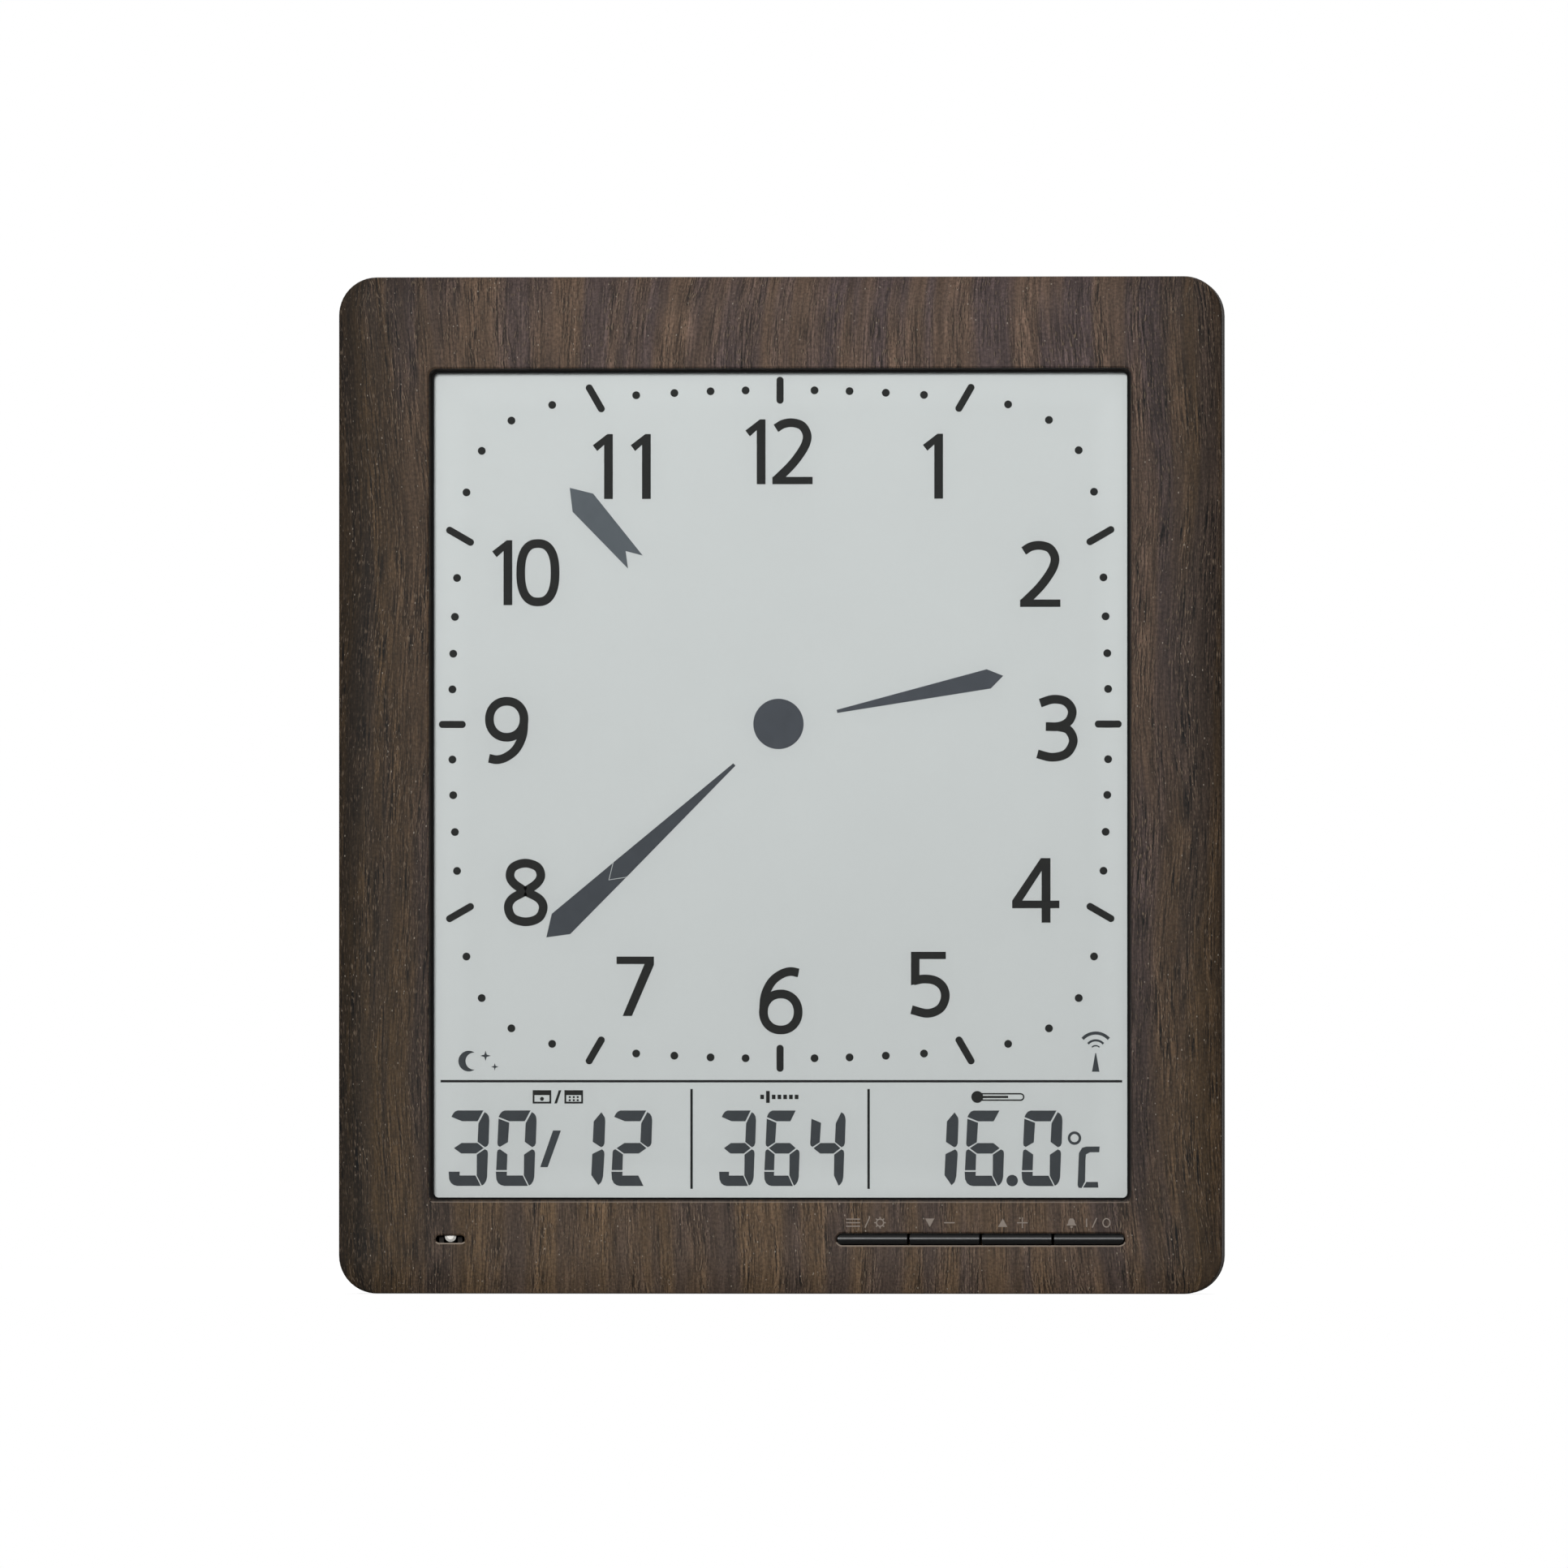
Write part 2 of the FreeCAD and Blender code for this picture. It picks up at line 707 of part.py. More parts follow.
# The temperature sensor: a dipped bead on a twin lead
def temperature_sensor():
    nose = Part.makeCone(sensor_bead_radius - sensor_bead_bevel, sensor_bead_radius, sensor_bead_bevel,
                         point(sensor_x, bead_y, bead_z), point(0, 1, 0))
    bead = rod_along_y(sensor_bead_radius, sensor_x, bead_z, bead_y + sensor_bead_bevel, bead_back_y)
    back_y = board_back_y + 3 * lead_bend
    land_x = -board_width / 2 + 3 * standoff_inset
    land_z = board_bottom + 3 * lead_bend
    route = [point(sensor_x, bead_back_y - sensor_bead_bevel, bead_z), point(sensor_x, back_y, bead_z),
             point(land_x, back_y, land_z), point(land_x, board_back_y, land_z)]
    return joined([nose, bead, lead(route, sensor_lead_side, lead_bend)])


# The back cover: a shallow tapered tub that closes the frame
def sloped_back(body, inset, depth):
    """Slope all round the back edge of a plate, taken from its straight right edge onwards."""
    back = body.BoundBox.YMax
    right_edge = edges_where(body, lambda b: b.YMin > back - 1e-3 and b.XLength < 1e-3 and b.XMin > 0)
    return body.makeChamfer(depth, inset, right_edge)


def cover_outside():
    body = plate(case_width - 2 * cover_step, case_height - 2 * cover_step, case_corner - cover_step,
                 frame_back_y, 0)
    body = sloped_back(body, cover_taper, cover_depth - cover_straight)
    return sloped_back(body, cover_edge_break, cover_edge_break)


def cover_inside():
    slope = cover_taper / (cover_depth - cover_straight)
    side_wall = cover_wall * math.sqrt(1 + slope ** 2)
    width = case_width - 2 * cover_step - 2 * side_wall
    height = case_height - 2 * cover_step - 2 * side_wall
    hollow = plate(width, height, case_corner - cover_step - side_wall, frame_back_y, skin_y)
    slope_depth = cover_depth - cover_straight - cover_wall
    return sloped_back(hollow, slope * slope_depth, slope_depth)


def cover_lip():
    outer_width = case_width - 2 * frame_wall - 2 * lip_clearance
    outer_height = case_height - 2 * frame_wall - 2 * lip_clearance
    corner = case_corner - frame_wall - lip_clearance
    front = frame_back_y - lip_height
    back = frame_back_y + cover_straight
    lip = plate(outer_width, outer_height, corner, front, back)
    return lip.cut(plate(outer_width - 2 * lip_wall, outer_height - 2 * lip_wall, corner - lip_wall, front, back))


def keyhole_cup():
    width = 2 * (keyhole_radius + cup_margin)
    low_z = keyhole_z - keyhole_radius - cup_margin
    high_z = slot_top_z + cup_margin
    middle = (low_z + high_z) / 2
    front = skin_y - cup_depth
    outside = slab(width + 2 * cup_wall, high_z - low_z + 2 * cup_wall, front - cup_wall, skin_y, 0, middle)
    inside = slab(width, high_z - low_z, front, skin_y, 0, middle)
    return [outside], [inside]


def keyhole():
    rise = slot_top_z - keyhole_z
    slot = slab(keyhole_slot_width, rise - keyhole_slot_width / 2, skin_y, 0,
                0, keyhole_z + (rise - keyhole_slot_width / 2) / 2)
    return [rod_along_y(keyhole_radius, 0, keyhole_z, skin_y, 0), slot,
            rod_along_y(keyhole_slot_width / 2, 0, slot_top_z - keyhole_slot_width / 2, skin_y, 0)]


def battery_well():
    outside = slab(well_length + 2 * well_wall, well_height + 2 * well_wall, -well_depth - well_wall, skin_y,
                   0, well_z)
    rim = slab(door_length + 2 * well_wall, door_height + 2 * well_wall, -door_thickness - well_wall, skin_y / 2,
               0, well_z)
    inside = slab(well_length, well_height, -well_depth, 0, 0, well_z)
    door_seat = plate(door_length + 2 * door_clearance, door_height + 2 * door_clearance, door_corner,
                      -door_thickness, 0, 0, well_z)
    return [outside, rim], [inside, door_seat]


def door_tab_pockets():
    """Room under the skin for the two hooked tabs, also while the door tilts."""
    swing = math.hypot(door_tab_length, door_thickness + door_tab_gap + door_tab_thickness)
    pocket_y = -swing - door_tab_gap
    low_z = door_low_z - door_tab_length - 2 * door_clearance
    high_z = well_z - well_height / 2
    pockets = []
    walls = []
    for side in (-1, 1):
        x = side * door_tab_offset
        width = door_tab_width + 2 * door_clearance
        pockets.append(slab(width, high_z - low_z, pocket_y, skin_y, x, (low_z + high_z) / 2))
        walls.append(slab(width + 2 * well_wall, high_z - low_z + well_wall, pocket_y - well_wall, skin_y / 2,
                          x, (low_z + high_z - well_wall) / 2))
    return walls, pockets


def contact_slots():
    """Slots in the left wall of the well that the solder tongues pass through."""
    height = tongue_width + 2 * tongue_slot_gap
    depth = contact_thickness + 2 * tongue_slot_gap
    return [slab(well_wall, height, cell_y - depth / 2, cell_y + depth / 2,
                 -(well_length + well_wall) / 2, well_z + side * cell_offset) for side in (-1, 1)]


def leg_recess():
    """Walls and space of the recess that the folded leg lies in, with the bores of its pins."""
    low_z = -case_height / 2
    height = recess_top_z - low_z
    middle = low_z + height / 2
    outside = slab(recess_width + 2 * recess_wall, height + recess_wall, -recess_depth - recess_wall, 0,
                   0, middle + recess_wall / 2)
    inside = slab(recess_width, height, -recess_depth, 0, 0, middle)
    bearing_length = leg_pin_length + leg_pin_end_gap + recess_wall
    bearing_reach = leg_pin_radius + recess_wall
    bearings = [slab(bearing_length, 2 * bearing_reach, leg_pivot_y - bearing_reach, skin_y / 2,
                     side * (recess_width + bearing_length) / 2, leg_pivot_z) for side in (-1, 1)]
    bore_reach = leg_width / 2 + leg_pin_length + leg_pin_end_gap
    bore = rod_along_x(leg_pin_radius + leg_pin_clearance, -bore_reach, bore_reach, leg_pivot_y, leg_pivot_z)
    return [outside] + bearings, [inside, bore]


def sound_outlet():
    """Two ribs that carry the sound disc and the slots behind which it sits."""
    rib_offset = sound_disc_radius - 2 * sound_rib_wall
    ribs = [slab(sound_rib_wall, sound_disc_radius, skin_y - sound_rib_height, skin_y,
                 sound_x + side * rib_offset, upper_row_z) for side in (-1, 1)]
    slots = [slab(sound_slot_length, sound_slot_height, skin_y, 0, sound_x,
                  upper_row_z + (order - (sound_slot_count - 1) / 2) * sound_slot_pitch)
             for order in range(sound_slot_count)]
    return ribs, slots


def vents():
    return [slab(vent_length, vent_height, skin_y, 0, -vent_x,
                 key_slot_z + vent_rise + (order - (vent_count - 1) / 2) * vent_pitch)
            for order in range(vent_count)]


def press_posts():
    """Cross-shaped posts that hold the display holder against the window."""
    posts = []
    for x, z in press_post_places:
        posts.append(slab(2 * press_post_reach, press_post_wall, holder_back_y, skin_y, x, z))
        posts.append(slab(press_post_wall, 2 * press_post_reach, holder_back_y, skin_y, x, z))
    return posts


def receiver_posts():
    return [slab(receiver_post_side, receiver_post_side, skin_y - receiver_post_height, skin_y,
                 receiver_x + side * receiver_width / 4, upper_row_z) for side in (-1, 1)]


def back_cover():
    outside = cover_outside()
    cover = outside.cut(cover_inside())
    tower_side = 2 * (case_head_radius + head_clearance + tower_wall)
    towers = [slab(tower_side, tower_side, tower_y, skin_y / 2, x, z) for x, z in boss_places]
    cup_walls, cup_space = keyhole_cup()
    well_walls, well_space = battery_well()
    pocket_walls, pocket_space = door_tab_pockets()
    recess_walls, recess_space = leg_recess()
    recess_walls = [wall.common(outside) for wall in recess_walls]
    sound_ribs, sound_slots = sound_outlet()
    cover = joined([cover, cover_lip()] + towers + cup_walls + well_walls + pocket_walls + recess_walls
                   + sound_ribs + press_posts() + receiver_posts())
    screw_holes = []
    for x, z in boss_places:
        screw_holes.append(rod_along_y(case_head_radius + head_clearance, x, z, screw_seat_y, 0))
        screw_holes.append(rod_along_y(case_shank_radius + passing_clearance, x, z, tower_y, screw_seat_y))
    return cover.cut(cup_space + keyhole() + well_space + pocket_space + contact_slots() + recess_space
                     + sound_slots + vents() + screw_holes)


# The cells and their contacts
def cell(row, nub_side):
    """One cell, its positive nub towards the side given."""
    z = well_z + row * cell_offset
    nub_x = well_length / 2 - contact_thickness
    can_x = nub_x - cell_nub_height
    can = rod_along_x(cell_radius, nub_x - cell_length, can_x, cell_y, z)
    whole = joined([can, rod_along_x(cell_nub_radius, can_x, nub_x, cell_y, z)])
    if nub_side < 0:
        whole.rotate(point(0, cell_y, z), point(0, 1, 0), 180)
    return whole


def flat_contact(wall_side, row):
    """Sheet against the end wall, where the nub of a cell rests."""
    return slab(contact_thickness, contact_height, cell_y - contact_width / 2, cell_y + contact_width / 2,
                wall_side * (well_length - contact_thickness) / 2, well_z + row * cell_offset)


def spring_strip(wall_side, row):
    """Bent strip on the sheet that pushes on the flat end of a cell."""
    base_x = well_length / 2 - contact_thickness
    tip_x = well_length / 2 - spring_room
    foot = contact_width / 2
    tip = spring_strip_width / 4
    bow = [(base_x, -foot), (tip_x, -tip), (tip_x, tip), (base_x, foot),
           (base_x, foot - 2 * contact_thickness), (tip_x + contact_thickness, tip - contact_thickness / 4),
           (tip_x + contact_thickness, contact_thickness / 4 - tip), (base_x, 2 * contact_thickness - foot)]
    low_z = well_z + row * cell_offset - spring_strip_width / 2
    outline = [point(wall_side * x, cell_y + y, low_z) for x, y in bow]
    face = Part.Face(Part.makePolygon(outline + outline[:1]))
    return face.extrude(point(0, 0, spring_strip_width))


def solder_tongue(row):
    length = tongue_reach + well_wall + contact_thickness
    return slab(length, tongue_width, cell_y - contact_thickness / 2, cell_y + contact_thickness / 2,
                -well_length / 2 + contact_thickness - length / 2, well_z + row * cell_offset)


def negative_contact():
    return joined([flat_contact(-1, 1), spring_strip(-1, 1), solder_tongue(1)])


def positive_contact():
    return joined([flat_contact(-1, -1), solder_tongue(-1)])


def battery_bridge():
    strap = slab(contact_thickness, 2 * cell_offset, cell_y - spring_strip_width / 2,
                 cell_y + spring_strip_width / 2, (well_length - contact_thickness) / 2, well_z)
    return joined([flat_contact(1, 1), flat_contact(1, -1), strap, spring_strip(1, -1)])


def battery_lead(row, land_x):
    """Lead from a solder tongue down to the main board."""
    start = point(-well_length / 2 - well_wall - tongue_reach, cell_y, well_z + row * cell_offset)
    land_z = board_top - 2 * lead_bend
    return lead([start, point(land_x, cell_y, start.z), point(land_x, cell_y, land_z),
                 point(land_x, board_back_y, land_z)], lead_side, lead_bend)


# The battery door, hooked under the skin below and latched above
def door_tabs():
    tabs = []
    back_y = -door_thickness - door_tab_gap
    root_z = door_low_z + door_ledge + door_clearance + door_tab_length
    for side in (-1, 1):
        x = side * door_tab_offset
        tip_z = door_low_z - door_tab_length
        tabs.append(slab(door_tab_width, root_z - tip_z, back_y - door_tab_thickness, back_y,
                         x, (root_z + tip_z) / 2))
        neck_z = door_low_z + door_clearance
        tabs.append(slab(door_tab_width, root_z - neck_z, back_y, -door_thickness, x, (root_z + neck_z) / 2))
    return tabs


def battery_door():
    door = plate(door_length, door_height, door_corner - door_clearance, -door_thickness, 0, 0, well_z)
    high_z = well_z + door_height / 2
    latch_z = high_z - door_latch_length / 2
    slits = [slab(door_latch_slit, door_latch_length, -door_thickness, 0, side * door_latch_width / 2, latch_z)
             for side in (-1, 1)]
    grooves = [slab(door_latch_width - 3 * door_latch_slit, grip_height, -grip_depth, 0,
                    0, latch_z + (order - (grip_count - 1) / 2) * grip_pitch) for order in range(grip_count)]
    return joined([door] + door_tabs()).cut(slits + grooves)


# The fold-out leg: a ribbed plate on two stub pins
def stand_leg():
    top_z = leg_pivot_z + leg_top
    height = top_z - leg_tip_z
    middle = (top_z + leg_tip_z) / 2
    panel = plate(leg_width, height, leg_corner, leg_inner_y, leg_outer_y, 0, middle)
    shoulder = slab(leg_width, leg_corner, leg_inner_y, leg_outer_y, 0, top_z - leg_corner / 2)
    notch = rod_along_y(finger_notch_radius, 0, leg_tip_z - finger_notch_radius + finger_notch_bite,
                        leg_inner_y, leg_outer_y)
    hollow_width = leg_width - 2 * leg_window_margin
    hollow_height = height - 2 * leg_window_margin
    hollow_y = leg_inner_y + leg_thickness / 2
    hollow = slab(hollow_width, hollow_height, leg_inner_y, hollow_y, 0, middle)
    ribs = [slab(leg_rib, hollow_height, leg_inner_y - leg_rib, hollow_y, side * hollow_width / 4, middle)
            for side in (-1, 1)]
    reach = leg_width / 2 + leg_pin_length
    pins = rod_along_x(leg_pin_radius, -reach, reach, leg_pivot_y, leg_pivot_z)
    return joined([joined([panel, shoulder]).cut([hollow, notch]), pins] + ribs)


# The aerial, its clips and the small receiver board
def ferrite_rod():
    return slab(rod_length, rod_height, rod_y - rod_depth / 2, rod_y + rod_depth / 2, 0, upper_row_z)


def antenna_coil():
    height = rod_height + 2 * coil_clearance
    depth = rod_depth + 2 * coil_clearance
    coil = slab(coil_length, height + 2 * coil_wall, rod_y - coil_depth / 2, rod_y + coil_depth / 2,
                0, upper_row_z)
    return coil.cut(slab(coil_length, height, rod_y - depth / 2, rod_y + depth / 2, 0, upper_row_z))


def antenna_clips():
    clips = []
    height = rod_height + 2 * coil_clearance
    front = rod_y - rod_depth / 2
    for side in (-1, 1):
        block = slab(clip_width, height + 2 * clip_wall, front - clip_wall, skin_y,
                     side * clip_offset, upper_row_z)
        seat = slab(clip_width, height, front - coil_clearance, rod_y + rod_depth / 2 + coil_clearance,
                    side * clip_offset, upper_row_z)
        mouth = slab(clip_width, height - clip_wall, front - clip_wall, front, side * clip_offset, upper_row_z)
        clips.append(block.cut([seat, mouth]))
    return Part.makeCompound(clips)


def receiver_board():
    board = slab(receiver_width, receiver_height, receiver_y, receiver_y + receiver_thickness,
                 receiver_x, upper_row_z)
    chip = slab(receiver_chip_side, receiver_chip_side, receiver_y - receiver_chip_height, receiver_y,
                receiver_x, upper_row_z)
    return joined([board, chip])


def antenna_lead():
    """Twin lead from the end of the coil to the receiver board."""
    start_y = rod_y - coil_depth / 2 + lead_side / 2
    end_x = receiver_x + receiver_width / 2 - lead_side
    return lead([point(-coil_length / 2, start_y - lead_side, upper_row_z),
                 point(end_x, start_y - lead_side, upper_row_z),
                 point(end_x, receiver_y, upper_row_z)], lead_side, lead_bend / 2)


def down_lead(x, start_y, start_z):
    """Lead that runs down inside the case from a part of the cover to the main board."""
    run_y = start_y - 2 * lead_bend
    land_z = board_top - 2 * lead_bend
    return lead([point(x, start_y, start_z), point(x, run_y, start_z), point(x, run_y, land_z),
                 point(x, board_back_y, land_z)], lead_side, lead_bend)


def sound_disc():
    back_y = skin_y - sound_rib_height
    return rod_along_y(sound_disc_radius, sound_x, upper_row_z, back_y - sound_disc_thickness, back_y)


# Screws
def screw(x, z, seat_y, head_radius, head_height, shank_radius, shank_length):
    head = rod_along_y(head_radius, x, z, seat_y, seat_y + head_height)
    return joined([head, rod_along_y(shank_radius, x, z, seat_y - shank_length, seat_y)])


def case_screws():
    top_y = screw_seat_y + case_head_height
    screws = []
    for x, z in boss_places:
        whole = screw(x, z, screw_seat_y, case_head_radius, case_head_height, case_shank_radius,
                      case_screw_length)
        cross = [slab(2 * cross_reach, cross_width, top_y - cross_depth, top_y, x, z),
                 slab(cross_width, 2 * cross_reach, top_y - cross_depth, top_y, x, z)]
        screws.append(whole.cut(cross))
    return Part.makeCompound(screws)


def board_screws():
    return Part.makeCompound([screw(x, z, board_back_y, small_head_radius, small_head_height,
                                    small_shank_radius, small_screw_length) for x, z in standoff_places])


export(front_frame(), "front_frame")
export(display_gasket(), "display_gasket")
export(display_window(), "display_window")
export(front_polarizer(), "lcd_front_polarizer")
export(front_glass(), "lcd_front_glass")
export(rear_glass(), "lcd_rear_glass")
export(reflector(), "lcd_reflector")
export(display_holder(), "lcd_holder")
export(zebra_strip(), "zebra_strip")
export(main_board(), "main_board")
export(chip_drop(), "chip_drop")
export(crystal(), "quartz_crystal")
export(small_components(), "board_components")
for order, name in enumerate(key_names):
    export(key(order), name + "_key")
    export(plunger(order), name + "_plunger")
export(switch_cases(), "switch_cases")
export(key_board(), "key_board")
export(key_ribbon(), "key_ribbon")
export(temperature_sensor(), "temperature_sensor")
export(back_cover(), "back_cover")
export(cell(1, 1), "upper_cell")
export(cell(-1, -1), "lower_cell")
export(negative_contact(), "negative_contact")
export(positive_contact(), "positive_contact")
export(battery_bridge(), "battery_bridge")
export(battery_lead(1, -well_length / 2 - 5 * lead_bend), "black_lead")
export(battery_lead(-1, -well_length / 2 - 4 * lead_bend), "red_lead")
export(battery_door(), "battery_door")
export(stand_leg(), "stand_leg")
export(ferrite_rod(), "ferrite_rod")
export(antenna_coil(), "antenna_coil")
export(antenna_clips(), "antenna_clips")
export(receiver_board(), "receiver_board")
export(antenna_lead(), "antenna_lead")
export(down_lead(receiver_x, receiver_y, upper_row_z - receiver_height / 3), "receiver_lead")
export(down_lead(sound_x, skin_y - sound_rib_height - sound_disc_thickness, upper_row_z), "sound_lead")
export(sound_disc(), "sound_disc")
export(case_screws(), "case_screws")
export(board_screws(), "board_screws")
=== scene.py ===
import math

import bmesh
import bpy
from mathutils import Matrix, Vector


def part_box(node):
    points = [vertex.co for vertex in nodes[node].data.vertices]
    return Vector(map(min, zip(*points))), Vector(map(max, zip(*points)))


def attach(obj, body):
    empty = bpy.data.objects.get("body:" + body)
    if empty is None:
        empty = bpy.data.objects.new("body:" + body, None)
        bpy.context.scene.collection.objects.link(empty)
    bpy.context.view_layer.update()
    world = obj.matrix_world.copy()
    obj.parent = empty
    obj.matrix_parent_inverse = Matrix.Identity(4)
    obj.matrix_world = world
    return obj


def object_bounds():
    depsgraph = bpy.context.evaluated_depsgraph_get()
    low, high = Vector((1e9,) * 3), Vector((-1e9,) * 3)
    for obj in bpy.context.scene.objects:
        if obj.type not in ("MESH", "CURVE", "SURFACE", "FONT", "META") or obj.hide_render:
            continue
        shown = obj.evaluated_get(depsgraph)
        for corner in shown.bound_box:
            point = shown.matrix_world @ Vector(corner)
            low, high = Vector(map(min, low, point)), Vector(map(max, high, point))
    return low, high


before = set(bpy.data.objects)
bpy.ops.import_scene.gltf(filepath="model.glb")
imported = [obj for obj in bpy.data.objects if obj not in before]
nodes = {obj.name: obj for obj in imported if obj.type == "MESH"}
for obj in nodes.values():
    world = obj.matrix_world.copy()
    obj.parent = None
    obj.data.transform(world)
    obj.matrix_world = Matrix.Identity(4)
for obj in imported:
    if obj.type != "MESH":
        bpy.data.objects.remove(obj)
cad_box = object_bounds()


# Front frame. An injection-moulded ABS shell under a printed film of dark walnut, satin lacquered.
# The film is drawn over the mould in one piece, so one straight-grained figure runs over all four
# sides and on round the outer edge.
def linear(sheet):
    """Linear colour of an sRGB hex value."""
    parts = [int(sheet[at:at + 2], 16) / 255 for at in (1, 3, 5)]
    return [part / 12.92 if part <= 0.04045 else ((part + 0.055) / 1.055) ** 2.4
            for part in parts] + [1]


def add(tree, kind, inputs=None, **settings):
    """Adds a node with its settings and links. An input, named or counted, takes a value, a
    socket, or a node, whose first output in use it then reads."""
    made = tree.nodes.new(kind)
    for name, value in settings.items():
        setattr(made, name, value)
    for key, value in (inputs or {}).items():
        into = made.inputs[key] if isinstance(key, int) else next(
            socket for socket in made.inputs if socket.enabled and socket.name == key)
        if isinstance(value, bpy.types.Node):
            value = next(socket for socket in value.outputs if socket.enabled)
        if isinstance(value, bpy.types.NodeSocket):
            tree.links.new(value, into)
        else:
            into.default_value = value
    return made


def new_material(name):
    """Empty material, its tree, and the object's coordinates in millimetres."""
    material = bpy.data.materials.new(name)
    material.use_nodes = True
    tree = material.node_tree
    tree.nodes.clear()
    place = add(tree, "ShaderNodeTexCoord")
    mm = add(tree, "ShaderNodeMapping", {
        "Vector": place.outputs["Object"], "Scale": (1000, 1000, 1000)})
    return material, tree, mm


def finish_nodes(material, *names):
    """Gives carried-over nodes their material."""
    for name in names:
        mesh = nodes[name].data
        mesh.materials.clear()
        mesh.materials.append(material)


# Sizes in millimetres; a pair is a width across the grain and a length along it. Pores and lines
# are drawn about twice as wide as walnut's own, which would be too fine to show.
grain_sweep = 7.0
grain_sweep_length = 90.0
wobble = 0.22
wobble_size = (12.5, 5.0)
patch_size = (9.0, 110.0)
cluster_size = (5.0, 26.0)
streak_size = (2.4, 55.0)
line_size = (0.45, 9.0)
pore_size = (0.32, 1.9)
lip_shift = 0.24
fleck_pitch = 0.9
fleck_stretch = 0.6
mottle_size = 0.7
walnut_warm = "#574738"
walnut_grey = "#473C37"
walnut_dark = "#281E18"
walnut_pale = "#8C7A66"
fleck_colour = "#A89D8F"

# The ground turns cooler towards the upper right and browner at the sides: factors on its colour,
# and how fast they change per millimetre.
tint_low_left = (0.98, 0.94, 0.82, 1)
tint_top_right = (1.08, 1.05, 1.18, 1)
tint_middle = 0.5
tint_rise = 0.0035
tint_slant = 0.003
tint_edge = (1.04, 1.0, 0.79, 1)
edge_reach = (84.0, 94.0)

# The figure darkens from the middle of the board to its sides: partly the board's own darker wood,
# partly painted shade where the front falls away from the light. It darkens once more on the roll
# of the edge, and that darkening is painted shade. Its lines are drawn deeper where the board is
# darker.
board_middle = 3.0
board_reach = (58.0, 101.0)
board_side = 0.46
line_depth_dark = 1.7
line_depth_fall = -0.8
roll_reach = (96.6, 99.5)
roll_shade = 0.55

# Beyond flat_reach the film wraps round the edge; it ends film_end behind the front. Behind the
# front the colour turns near-black, save on the sill below the display: this is painted shade on
# the walls of the openings, and bare mould on the hidden inside. Pale lines on the edge breaks
# below the display and below the key slot are painted highlights.
flat_reach = (93.5, 108.5)
film_end = (5.5, 7.5)
bare_mould_and_shade = "#100D0B"
bare_and_shade_share = 0.9
bare_and_shade_depth = (-27.7, -27.35)
sill_z = (-94.4, -93.5)
sill_low = -94.8
rim_highlight_colour = "#9A8D80"
rim_depth = (0.02, 0.06)
rim_reach = 80.0
rim_bands = ((-94.27, 0.15, 0.4), (-104.0, 0.7, 0.85))


def grain_figure(tree, place, size, detail):
    """Uneven figure of a given width and length, drawn out along the grain."""
    across, along = size
    drawn = add(tree, "ShaderNodeMapping", {
        "Vector": place, "Scale": (1 / across, 1 / across, 1 / along)})
    return add(tree, "ShaderNodeTexNoise", {
        "Vector": drawn, "Scale": 1.0, "Detail": detail, "Roughness": 0.55})


# Printed walnut film: warm and greyish bands under fine dark lines, short pores with a paler lip
# and small light flecks. The eye reads dry, open-pored wood with a low satin sheen.
walnut, tree, mm = new_material("walnut_film_on_abs")
spot = add(tree, "ShaderNodeSeparateXYZ", {"Vector": mm}).outputs
behind_front = add(tree, "ShaderNodeMath", {
    0: spot["Y"], 1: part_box("front_frame")[0].y * 1000}, operation="SUBTRACT")
away, outside, wrapped = {}, {}, {}
for axis, reach in zip("XZ", flat_reach):
    away[axis] = add(tree, "ShaderNodeMath", {0: spot[axis]}, operation="ABSOLUTE")
    outside[axis] = add(tree, "ShaderNodeMath", {
        0: away[axis], 1: reach}, operation="GREATER_THAN")
    side = add(tree, "ShaderNodeMath", {0: spot[axis]}, operation="SIGN")
    side = add(tree, "ShaderNodeMath", {0: side, 1: outside[axis]}, operation="MULTIPLY")
    wrapped[axis] = add(tree, "ShaderNodeMath", {
        0: side, 1: behind_front, 2: spot[axis]}, operation="MULTIPLY_ADD")
film = add(tree, "ShaderNodeCombineXYZ", wrapped)
sway = add(tree, "ShaderNodeTexNoise", {
    "Vector": film, "Scale": 1 / grain_sweep_length, "Detail": 1.0})
sway_by = add(tree, "ShaderNodeMapRange", {
    "Value": sway, "To Min": -grain_sweep, "To Max": grain_sweep})
wobble_by = add(tree, "ShaderNodeMapRange", {
    "Value": grain_figure(tree, film, wobble_size, 1.0), "To Min": -wobble, "To Max": wobble})
sideways = add(tree, "ShaderNodeMath", {0: sway_by, 1: wobble_by}, operation="ADD")
shift = add(tree, "ShaderNodeCombineXYZ", {"X": sideways})
grain = add(tree, "ShaderNodeVectorMath", {0: film, 1: shift}, operation="ADD")
beside = add(tree, "ShaderNodeVectorMath", {0: grain, 1: (lip_shift, 0, 0)}, operation="ADD")

patch = add(tree, "ShaderNodeMapRange", {
    "Value": grain_figure(tree, grain, patch_size, 2.0), "From Min": 0.42, "From Max": 0.58},
    interpolation_type="SMOOTHSTEP")
ground = add(tree, "ShaderNodeMix", {
    "Factor": patch, "A": linear(walnut_grey), "B": linear(walnut_warm)}, data_type="RGBA")
rising = add(tree, "ShaderNodeMath", {
    0: spot["Z"], 1: tint_rise, 2: tint_middle}, operation="MULTIPLY_ADD")
slanting = add(tree, "ShaderNodeMath", {
    0: spot["X"], 1: tint_slant, 2: rising}, operation="MULTIPLY_ADD", use_clamp=True)
tint = add(tree, "ShaderNodeMix", {
    "Factor": slanting, "A": tint_low_left, "B": tint_top_right}, data_type="RGBA")
at_side = add(tree, "ShaderNodeMapRange", {
    "Value": away["X"], "From Min": edge_reach[0], "From Max": edge_reach[1]})
